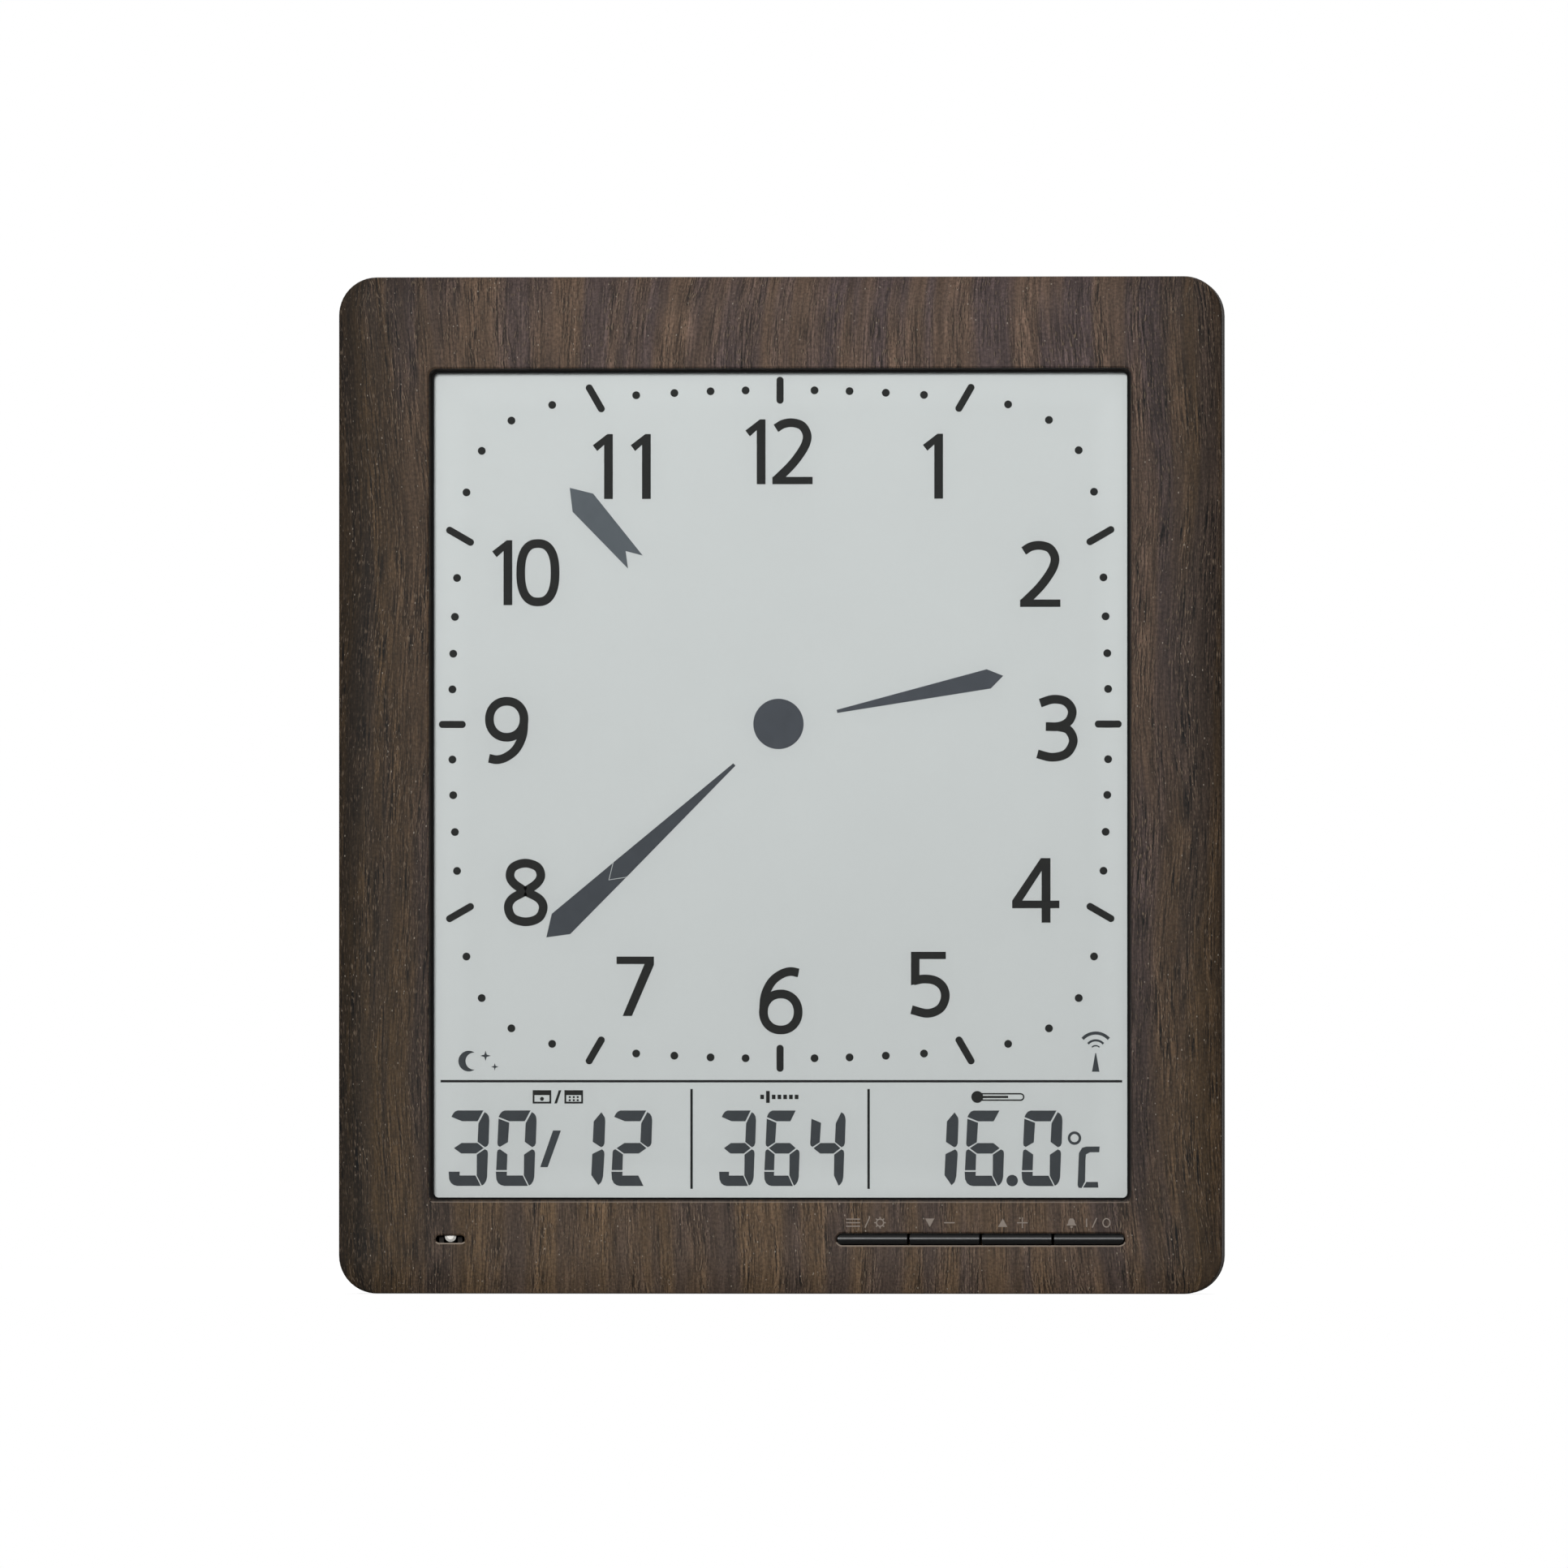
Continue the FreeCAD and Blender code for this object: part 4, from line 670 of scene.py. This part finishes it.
# Hands and hub of the dial. Segments of the liquid crystal, each an electrode of its own shape
# that darkens where it is switched on, with a hairline gap to its neighbour. Sizes run from the
# hub's middle outwards; the second marker uses only the outer segment.
hub_x = -0.51
hub_z = 13.87
hub_radius = 5.7
hand_tail = 13.55
hand_tail_half = 0.36
inner_shoulder = 48.7
inner_half = 2.23
inner_tip = 52.05
segment_gap = 0.22
outer_shoulder = 66.9
outer_half = 3.11
outer_tip = 71.4
hour_degrees = 77.95
minute_degrees = 227.45
second_degrees = 318.5
outer_foot = inner_shoulder + segment_gap
inner_segment = [(hand_tail, -hand_tail_half), (inner_shoulder, -inner_half), (inner_tip, 0),
                 (inner_shoulder, inner_half), (hand_tail, hand_tail_half)]
outer_segment = [(outer_foot, -inner_half), (outer_shoulder, -outer_half), (outer_tip, 0),
                 (outer_shoulder, outer_half), (outer_foot, inner_half),
                 (inner_tip + segment_gap, 0)]

# Darkened liquid crystal: a flat, slightly bluish slate, deepest where the crystal has fully
# turned and paler in the marker, which is only half risen.
crystal = printed_material("darkened_liquid_crystal", "#44484F", 0.6, 3.0)
deep_crystal = printed_material("fully_darkened_liquid_crystal", "#3E4248", 0.6, 3.0)
rising_crystal = printed_material("half_risen_liquid_crystal", "#565C62", 0.6, 3.0)
segment_crystal = printed_material("darkened_segment_crystal", "#363A3E", 0.6, 2.0)

for name, degrees, hand_segments, material in (
        ("hour_hand", hour_degrees, [inner_segment], crystal),
        ("minute_hand", minute_degrees, [inner_segment, outer_segment], deep_crystal),
        ("second_marker", second_degrees, [outer_segment], rising_crystal)):
    sine, cosine = math.sin(math.radians(degrees)), math.cos(math.radians(degrees))
    mesh = bmesh.new()
    for segment in hand_segments:
        raise_outline(mesh, [(hub_x + along * sine + side * cosine,
                              hub_z + along * cosine - side * sine) for along, side in segment])
    make_piece(name, mesh, material)
mesh = bmesh.new()
raise_outline(mesh, ring_path(hub_x, hub_z, hub_radius, hub_radius, count=96))
make_piece("hub_disc", mesh, crystal)


# Digits of the date, the day of the year and the temperature. Seven segments of the crystal on a
# cell of 48 by 93 units that leans to the right, and a narrow one of two segments.
cell_unit = 0.1837
cell_lean = 0.042
cell_foot = -90.65
day_cell_width = 0.9
segments = {
    "top": [(0.6, 85), (2.2, 88.6), (4.6, 91.6), (8, 93), (39.8, 93), (33.2, 79.7), (14.1, 79.7)],
    "upper_right": [(41.3, 91), (44.6, 89), (46.8, 85.6), (47.7, 80.9), (48, 52.7), (46.5, 49.2),
                    (43.5, 47.7), (34.2, 54.3), (34.3, 77.2)],
    "upper_left": [(0.6, 82.9), (14.1, 77.9), (13.5, 53.9), (3.8, 48.1), (1.3, 49.6),
                   (0.5, 52.4)],
    "middle": [(5.2, 46.6), (14.6, 53), (34, 53), (42, 46.6), (33, 40), (14.5, 40)],
    "lower_left": [(3.9, 45.3), (13.4, 38.9), (13.6, 19.5), (0.3, 19.5), (0.5, 42), (1.4, 44.3)],
    "bottom": [(0, 17.6), (13.8, 17.6), (13.8, 12.9), (33.4, 12.9), (40.4, 0), (11.3, 0), (7, 1),
               (3.4, 3.6), (1, 8.2)],
    "lower_right": [(43.6, 45.3), (46.6, 43.6), (47.6, 40.5), (47.8, 11), (46.6, 5.6), (44.2, 2),
                    (41.7, 0.4), (34.8, 12.9), (33.9, 38.7)],
    "narrow_upper": [(9.6, 90.8), (14.2, 84.4), (14.9, 80), (15.1, 52.5), (13.6, 49), (11, 47.7),
                     (0.5, 54.3), (0.6, 79.6)],
    "narrow_lower": [(12.3, 45.3), (15, 42.6), (15.6, 39), (15.1, 12), (13.4, 5), (9.6, 1),
                     (0.4, 13.4), (0.5, 39.4)],
}
lit = {
    "0": ["top", "upper_right", "upper_left", "lower_left", "bottom", "lower_right"],
    "1": ["narrow_upper", "narrow_lower"],
    "2": ["top", "upper_right", "middle", "lower_left", "bottom"],
    "3": ["top", "upper_right", "middle", "lower_right", "bottom"],
    "4": ["upper_left", "upper_right", "middle", "lower_right"],
    "6": ["top", "upper_left", "middle", "lower_left", "bottom", "lower_right"],
}
date_stroke = [(-54.5, -86.4), (-52.8, -86.4), (-49.8, -78.1), (-51.6, -78.1)]
decimal_point = ring_path(52.4, -89.4, 1.3, 1.3)
degree_ring = ring_path(66.5, -79.8, 1.22, 1.22)
degree_line = 0.6
unit_segments = [[(67.4, -91.0), (67.2, -90.4), (67.5, -83.2), (68.2, -82.0), (69.2, -81.7),
                  (72.2, -81.7), (72.1, -83.0), (70.0, -83.0), (69.1, -83.5), (69.0, -84.4),
                  (68.9, -89.6), (68.1, -91.1)],
                 [(68.4, -91.0), (71.9, -91.0), (71.8, -89.7), (69.2, -89.7)]]
for name, digits, width, signs in (
        ("date_digits", (("3", -75.4), ("0", -64.7), ("1", -43.1), ("2", -38.5)), 1.0,
         [date_stroke]),
        ("day_digits", (("3", -14.1), ("6", -3.9), ("4", 6.2)), day_cell_width, []),
        ("temperature_digits", (("1", 36.9), ("6", 41.5), ("0", 54.4)), 1.0,
         [decimal_point] + unit_segments)):
    mesh = bmesh.new()
    for digit, x in digits:
        for part in lit[digit]:
            raise_outline(mesh, [(x + (across * width + upward * cell_lean) * cell_unit,
                                  cell_foot + upward * cell_unit)
                                 for across, upward in segments[part]])
    for sign in signs:
        raise_outline(mesh, sign)
    if name == "temperature_digits":
        raise_band(mesh, degree_ring, degree_line, closed=True)
    make_piece(name, mesh, segment_crystal)


# Symbols of the display, switched segments too: a moon with stars for the afternoon at the lower
# left of the dial, and a radio mast at its lower right.
moon_x = -70.7
moon_z = -62.4
moon_reach = 2.35
moon_horn = math.radians(55)
bite_x = 1.2
star_waist = 0.32
mast_x = 71.3
mast_z = -59.8
mesh = bmesh.new()
horn_x, horn_z = moon_reach * math.cos(moon_horn), moon_reach * math.sin(moon_horn)
bite_reach = math.hypot(horn_x - bite_x, horn_z)
bite_horn = math.atan2(horn_z, horn_x - bite_x)
moon = [(moon_x + moon_reach * math.cos(turn), moon_z + moon_reach * math.sin(turn))
        for turn in [moon_horn + (2 * math.pi - 2 * moon_horn) * at / 24 for at in range(25)]]
moon += [(moon_x + bite_x + bite_reach * math.cos(turn), moon_z + bite_reach * math.sin(turn))
         for turn in [-bite_horn - (2 * math.pi - 2 * bite_horn) * at / 20 for at in range(1, 20)]]
raise_outline(mesh, moon)
for x, z, point in ((-66.9, -61.2, 1.2), (-64.8, -63.7, 0.85)):
    reaches = [point, star_waist * point] * 4
    raise_outline(mesh, [(x + reach * math.sin(math.pi * at / 4),
                          z + reach * math.cos(math.pi * at / 4))
                         for at, reach in enumerate(reaches)])
make_piece("moon_symbol", mesh, segment_crystal)
mesh = bmesh.new()
raise_outline(mesh, [(mast_x - 0.85, mast_z - 5.0), (mast_x + 0.85, mast_z - 5.0),
                     (mast_x + 0.1, mast_z - 0.8), (mast_x - 0.1, mast_z - 0.8)])
for reach, width in ((4.0, 0.72), (2.35, 0.5), (1.15, 0.3)):
    turns = [math.radians(degrees) for degrees in range(-48, 49, 8)]
    raise_band(mesh, [(mast_x + reach * math.sin(turn), mast_z - 0.25 + reach * math.cos(turn))
                      for turn in turns], width)
make_piece("radio_symbol", mesh, segment_crystal)


# Symbols that head the three fields, printed in the dial's ink: a day page and a month page with a
# stroke between, seven marks in a row with one raised, and a lying thermometer.
head_z = -70.5
page_xs = (-54.1, -46.9)
page_half = 1.9
page_half_height = 1.3
page_line = 0.42
page_head_z = 0.85
page_head = 0.9
day_row_x = -0.3
day_pitch = 1.3
day_half = 0.42
day_low = 0.5
day_tall = 1.35
bulb_x = 44.5
bulb_reach = 1.35
tube_start = 45.4
tube_end = 54.3
tube_half = 0.72
tube_line = 0.32
column_end = 51.5
column_width = 0.5
mesh = bmesh.new()
for x in page_xs:
    raise_band(mesh, [(x + across * page_half, head_z + upward * page_half_height)
                      for across, upward in ((-1, -1), (1, -1), (1, 1), (-1, 1))],
               page_line, closed=True)
    raise_band(mesh, [(x - page_half, head_z + page_head_z), (x + page_half, head_z + page_head_z)],
               page_head, lift=1)
raise_outline(mesh, ring_path(page_xs[0], head_z - 0.45, 0.45, 0.45, count=20))
for x in (-0.9, 0, 0.9):
    for z in (-0.75, -0.05):
        raise_outline(mesh, ring_path(page_xs[1] + x, head_z + z, 0.26, 0.22, 3.0, 16))
raise_outline(mesh, [(-51.3, head_z - 1.5), (-50.7, head_z - 1.5), (-49.7, head_z + 1.5),
                     (-50.3, head_z + 1.5)])
for day in range(7):
    x = day_row_x + (day - 3) * day_pitch
    half_height = day_tall if day == 1 else day_low
    raise_outline(mesh, [(x + across * day_half, head_z + upward * half_height)
                         for across, upward in ((-1, -1), (1, -1), (1, 1), (-1, 1))])
tube = [(tube_start, head_z - tube_half), (tube_end, head_z - tube_half)]
tube += [(tube_end + tube_half * math.sin(turn), head_z - tube_half * math.cos(turn))
         for turn in [math.radians(degrees) for degrees in range(20, 161, 20)]]
tube += [(tube_end, head_z + tube_half), (tube_start, head_z + tube_half)]
raise_band(mesh, tube, tube_line)
raise_outline(mesh, ring_path(bulb_x, head_z, bulb_reach, bulb_reach, count=32), lift=1)
raise_band(mesh, [(bulb_x, head_z), (column_end, head_z)], column_width, lift=2)
make_piece("field_symbols", mesh, dial_ink)


# Front keys. Four black ABS bars, moulded with a satin surface, which float side by side in one
# slot. Above them stand their symbols, pad-printed in a pale grey.
def moulded(name, colour, roughness, grain, relief, sheen=0.5):
    """Moulded or dipped material with a fine grain in tone, roughness and relief."""
    material, tree, mm = new_material(name)
    fine, shade = uneven_colour(tree, mm, colour, grain, 3.0, 0.15, roughness=0.6)
    dull = add(tree, "ShaderNodeMapRange", {
        "Value": fine, "To Min": roughness - 0.06, "To Max": roughness + 0.06})
    bump = add(tree, "ShaderNodeBump", {"Height": fine, "Strength": relief, "Distance": 0.0001})
    surface = add(tree, "ShaderNodeBsdfPrincipled", {
        "Base Color": shade, "Roughness": dull, "Specular IOR Level": sheen, "Normal": bump})
    add(tree, "ShaderNodeOutputMaterial", {"Surface": surface})
    return material


# Satin ABS, near black: its crowned faces gather the light from above into one soft line.
key_black = moulded("satin_black_abs", "#060707", 0.34, 0.3, 0.05, 0.36)
finish_nodes(key_black, "mode_key", "down_key", "up_key", "alarm_key")

# Pad print: a thin matt grey, which looks sunk into the film.
legend_ink = printed_material("pad_printed_grey", "#857A70", 0.5, 0.5)
frame_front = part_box("front_frame")[0].y
legend_layer = (frame_front - 0.00002, frame_front + 0.00005)
legend_z = -98.9
legend_line = 0.26
bell_x = 66.0
spoked_x = 22.7
strokes = [[(15.0, z), (18.2, z)] for z in (-0.8, 0, 0.8)]
strokes += [[(19.3, -1.1), (20.3, 1.1)], [(37.2, 0), (39.6, 0)], [(53.7, 0), (56.1, 0)],
            [(69.4, -0.95), (69.4, 0.95)], [(70.7, -1.1), (71.7, 1.1)]]
crossing = [[(54.9, -1.2), (54.9, 1.2)]]
for turn in [math.radians(45 * spoke) for spoke in range(8)]:
    crossing.append([(spoked_x + reach * math.cos(turn), reach * math.sin(turn))
                     for reach in (0.9, 1.3)])
rings = [ring_path(spoked_x, 0, 0.8, 0.8, count=32), ring_path(73.9, 0, 0.8, 0.95, count=32)]
filled = [[(32.9, 0.95), (35.0, 0.95), (33.95, -0.95)],
          [(49.4, -0.95), (51.5, -0.95), (50.45, 0.95)],
          [(bell_x + across, upward) for across, upward in (
              (-1.15, -0.62), (1.15, -0.62), (0.78, -0.15), (0.68, 0.5), (0.35, 0.98),
              (-0.35, 0.98), (-0.68, 0.5), (-0.78, -0.15))],
          ring_path(bell_x, -0.95, 0.3, 0.2, count=20)]
mesh = bmesh.new()
for paths, closed, lift in ((strokes, False, 0), (crossing, False, 1), (rings, True, 0)):
    for path in paths:
        raise_band(mesh, [(x, legend_z + z) for x, z in path], legend_line, closed, lift,
                   legend_layer)
for outline in filled:
    raise_outline(mesh, [(x, legend_z + z) for x, z in outline], layer=legend_layer)
make_piece("key_symbols", mesh, legend_ink)


# Temperature sensor. A bead dipped in white resin on its lead, held behind the small slot, where
# air reaches it. Dipped resin gives a smooth, bright drop with a soft highlight.
finish_nodes(moulded("dipped_white_resin", "#F2F0EA", 0.3, 1.5, 0.05), "temperature_sensor")


# Back cover, battery door and fold-out leg. Black ABS, moulded in a tool with a fine
# spark-eroded texture, which gives an even, dry sheen and hides scratches.
case_black = moulded("spark_eroded_black_abs", "#191A1B", 0.55, 0.22, 0.35, 0.4)
finish_nodes(case_black, "back_cover", "battery_door", "stand_leg")


# Case screws and small board screws. Steel, cold-headed and zinc-plated, driven into moulded
# pilot holes. Barrelled plating gives a grey, slightly uneven shine.
def bare_metal(name, colour, roughness, grain):
    """Metal with a fine uneven polish."""
    material, tree, mm = new_material(name)
    fine, shade = uneven_colour(tree, mm, colour, grain, 3.0, 0.1)
    polish = add(tree, "ShaderNodeMapRange", {
        "Value": fine, "To Min": roughness - 0.08, "To Max": roughness + 0.08})
    surface = add(tree, "ShaderNodeBsdfPrincipled", {
        "Base Color": shade, "Metallic": 1.0, "Roughness": polish})
    add(tree, "ShaderNodeOutputMaterial", {"Surface": surface})
    return material


zinc = bare_metal("zinc_plated_steel", "#8E9093", 0.35, 0.4)
finish_nodes(zinc, "board_screws")

# The case screws have a cross recess, whose unlit floor the eye reads as two dark crossed bars.
screw_reach = (87.5, 102.5)
cross_width = 0.42
cross_length = 1.5
cross_dark = "#1B1B1C"
crossed = zinc.copy()
crossed.name = "zinc_plated_cross_recess"
tree = crossed.node_tree
mm = next(node for node in tree.nodes if node.type == "MAPPING")
shine = next(node for node in tree.nodes if node.type == "BSDF_PRINCIPLED")
spot = add(tree, "ShaderNodeSeparateXYZ", {"Vector": mm}).outputs
offsets = []
for axis, reach in zip("XZ", screw_reach):
    off = add(tree, "ShaderNodeMath", {0: spot[axis]}, operation="ABSOLUTE")
    off = add(tree, "ShaderNodeMath", {0: off, 1: reach}, operation="SUBTRACT")
    offsets.append(add(tree, "ShaderNodeMath", {0: off}, operation="ABSOLUTE"))
bars = []
for narrow, long in (offsets, offsets[::-1]):
    thin = add(tree, "ShaderNodeMath", {0: narrow, 1: cross_width}, operation="LESS_THAN")
    reaching = add(tree, "ShaderNodeMath", {0: long, 1: cross_length}, operation="LESS_THAN")
    bars.append(add(tree, "ShaderNodeMath", {0: thin, 1: reaching}, operation="MULTIPLY"))
cross = add(tree, "ShaderNodeMath", {0: bars[0], 1: bars[1]}, operation="MAXIMUM")
plated = shine.inputs["Base Color"].links[0].from_socket
recess = add(tree, "ShaderNodeMix", {
    "Factor": cross, "A": plated, "B": linear(cross_dark)}, data_type="RGBA")
tree.links.new(recess.outputs[2], shine.inputs["Base Color"])
finish_nodes(crossed, "case_screws")


# Cells and contacts. Steel cans in plain dark jackets shrunk over them, a smooth slate with a
# long highlight, between sprung contacts of nickel-plated steel, bright with a warm tinge.
cell_jacket = moulded("printed_cell_jacket", "#2C3136", 0.3, 2.0, 0.03)
finish_nodes(cell_jacket, "upper_cell", "lower_cell")
nickel = bare_metal("nickel_plated_spring_steel", "#C9C6BE", 0.25, 0.5)
finish_nodes(nickel, "negative_contact", "positive_contact", "battery_bridge")


# Inside: the display holder, boards, switches, leads, aerial and sound disc, clipped, soldered or
# screwed in place. They show only through slots and vents, each in its plain finish. The metals
# shine softly: silver film, bright can, copper-red wire and yellow brass.
finish_nodes(bare_metal("matt_silver_film", "#CFD0CE", 0.5, 0.3), "lcd_reflector")
# Mouldings, rubber and boards: plain, dry tones with a low sheen, and one glossy black drop.
finish_nodes(moulded("white_abs_tray", "#E4E3DE", 0.45, 0.5, 0.1), "lcd_holder")
finish_nodes(moulded("layered_contact_rubber", "#2B2B2B", 0.7, 0.2, 0.1), "zebra_strip")
finish_nodes(moulded("phenolic_paper_board", "#A57C45", 0.5, 1.0, 0.1),
             "main_board", "key_board", "receiver_board")
finish_nodes(moulded("cured_black_epoxy", "#0C0C0D", 0.2, 3.0, 0.1), "chip_drop")
finish_nodes(bare_metal("drawn_bright_can", "#C8C9CB", 0.2, 0.8), "quartz_crystal")
finish_nodes(moulded("small_moulded_parts", "#4A4038", 0.45, 0.6, 0.05), "board_components")
finish_nodes(moulded("black_nylon", "#1A1B1C", 0.5, 0.3, 0.1), "switch_cases",
             "mode_plunger", "down_plunger", "up_plunger", "alarm_plunger")
finish_nodes(moulded("grey_flat_cable", "#B9B7B0", 0.5, 1.3, 0.1), "key_ribbon")
finish_nodes(moulded("sintered_ferrite", "#3A3A3C", 0.6, 0.2, 0.3), "ferrite_rod")
finish_nodes(bare_metal("enamelled_copper_wire", "#B4663A", 0.3, 0.3), "antenna_coil")
finish_nodes(moulded("white_nylon", "#DAD9D3", 0.45, 0.5, 0.05), "antenna_clips")
finish_nodes(bare_metal("rolled_brass", "#C9A75A", 0.3, 0.6), "sound_disc")
# Insulation: smooth, slightly glossy vinyl in two colours, which tell the leads apart.
finish_nodes(moulded("black_pvc_insulation", "#141414", 0.4, 0.8, 0.05),
             "black_lead", "antenna_lead", "sound_lead")
finish_nodes(moulded("red_pvc_insulation", "#9C1F18", 0.4, 0.8, 0.05),
             "red_lead", "receiver_lead")


# Studio. The clock stands on a pale table before a white ground, lit by a broad soft light from
# the front, a little above and to the left, and by even fill. Table and ground look white to the
# camera and through glass, and are dimmer in reflections, so that black faces stay black.
table_half = 0.3
table_back = 0.24
table_drop = 0.0001
table_white = 0.84
table_mirrored = 0.12
table_grey = (0.4, 0.4, 0.4, 1)
fill_strength = 0.2
room_strength = 0.1
ceiling_strength = 0.6
backdrop_heading = (0.25, 0.6)
ceiling_heading = (0.25, 0.7)

# Matt white board: it lifts to white before the camera and keeps the clock's soft shadow.
white, tree, mm = new_material("white_table")
looking = add(tree, "ShaderNodeLightPath").outputs
mirrored = add(tree, "ShaderNodeMath", {
    0: looking["Is Glossy Ray"], 1: table_mirrored}, operation="MULTIPLY")
seen = looking["Is Camera Ray"]
for other in (mirrored, looking["Is Transmission Ray"]):
    seen = add(tree, "ShaderNodeMath", {0: seen, 1: other}, operation="MAXIMUM")
lift = add(tree, "ShaderNodeMath", {0: seen, 1: table_white}, operation="MULTIPLY")
glow = add(tree, "ShaderNodeEmission", {"Color": (1, 1, 1, 1), "Strength": lift})
matt = add(tree, "ShaderNodeBsdfDiffuse", {"Color": table_grey})
board = add(tree, "ShaderNodeAddShader", {0: glow, 1: matt})
add(tree, "ShaderNodeOutputMaterial", {"Surface": board})
mesh = bmesh.new()
bmesh.ops.create_grid(mesh, x_segments=1, y_segments=1, size=table_half)
bmesh.ops.translate(mesh, verts=mesh.verts, vec=(0, table_back, cad_box[0].z - table_drop))
table = shaped("table", mesh, white)

# White ground: in reflections it is bright behind the clock and overhead, and dim elsewhere.
world = bpy.data.worlds.new("studio")
bpy.context.scene.world = world
world.use_nodes = True
tree = world.node_tree
tree.nodes.clear()
looking = add(tree, "ShaderNodeLightPath").outputs
heading = add(tree, "ShaderNodeSeparateXYZ", {0: add(tree, "ShaderNodeTexCoord")}).outputs
backdrop = add(tree, "ShaderNodeMapRange", {
    "Value": heading["Y"], "From Min": backdrop_heading[0], "From Max": backdrop_heading[1],
    "To Min": room_strength, "To Max": 1.0})
ceiling = add(tree, "ShaderNodeMapRange", {
    "Value": heading["Z"], "From Min": ceiling_heading[0], "From Max": ceiling_heading[1],
    "To Min": room_strength, "To Max": ceiling_strength})
brightest = add(tree, "ShaderNodeMath", {0: backdrop, 1: ceiling}, operation="MAXIMUM")
mirrored = add(tree, "ShaderNodeMix", {
    "Factor": looking["Is Glossy Ray"], "A": fill_strength, "B": brightest})
seen = add(tree, "ShaderNodeMath", {
    0: looking["Is Camera Ray"], 1: looking["Is Transmission Ray"]}, operation="MAXIMUM")
strength = add(tree, "ShaderNodeMix", {"Factor": seen, "A": mirrored, "B": 1.0})
ground = add(tree, "ShaderNodeBackground", {"Color": (1, 1, 1, 1), "Strength": strength})
add(tree, "ShaderNodeOutputWorld", {"Surface": ground})

# Two soft boxes, aimed at the clock, the second one at its back: place, width and height in
# metres, and power in watts.
for name, place, width, height, power in (
        ("front_light", (-0.22, -1.78, 0.46), 0.6, 0.5, 25.5),
        ("back_light", (0.3, 1.5, 2.2), 1.2, 1.2, 32.0)):
    light = bpy.data.lights.new(name, "AREA")
    light.shape = "RECTANGLE"
    light.size = width
    light.size_y = height
    light.energy = power
    lamp = put_in_scene(name, light)
    lamp.location = place
    lamp.rotation_euler = (-Vector(place)).to_track_quat("-Z", "Y").to_euler()

# Camera: far off with a long lens, a little to the right, and framed as the photograph is.
picture_pixels = 1932
case_height_pixels = 1252.3
frame_centre_pixels = (962.6, 967.65)
camera_distance = 6.0
camera_azimuth = math.radians(3.0)
camera_elevation = math.radians(-0.5)
middle_depth = -0.0215
metres_per_pixel = (cad_box[1].z - cad_box[0].z) / case_height_pixels
aim = Vector(((picture_pixels / 2 - frame_centre_pixels[0]) * metres_per_pixel, middle_depth,
              (frame_centre_pixels[1] - picture_pixels / 2) * metres_per_pixel))
back = Vector((math.sin(camera_azimuth) * math.cos(camera_elevation),
               -math.cos(camera_azimuth) * math.cos(camera_elevation),
               math.sin(camera_elevation)))
camera_data = bpy.data.cameras.new("camera")
camera_data.sensor_width = 36.0
camera_data.lens = (camera_data.sensor_width * camera_distance
                    / (picture_pixels * metres_per_pixel))
camera_data.clip_end = 50.0
camera = put_in_scene("camera", camera_data)
camera.location = aim + back * camera_distance
camera.rotation_euler = back.to_track_quat("Z", "Y").to_euler()
bpy.context.scene.camera = camera
bpy.context.scene.view_settings.view_transform = "Standard"
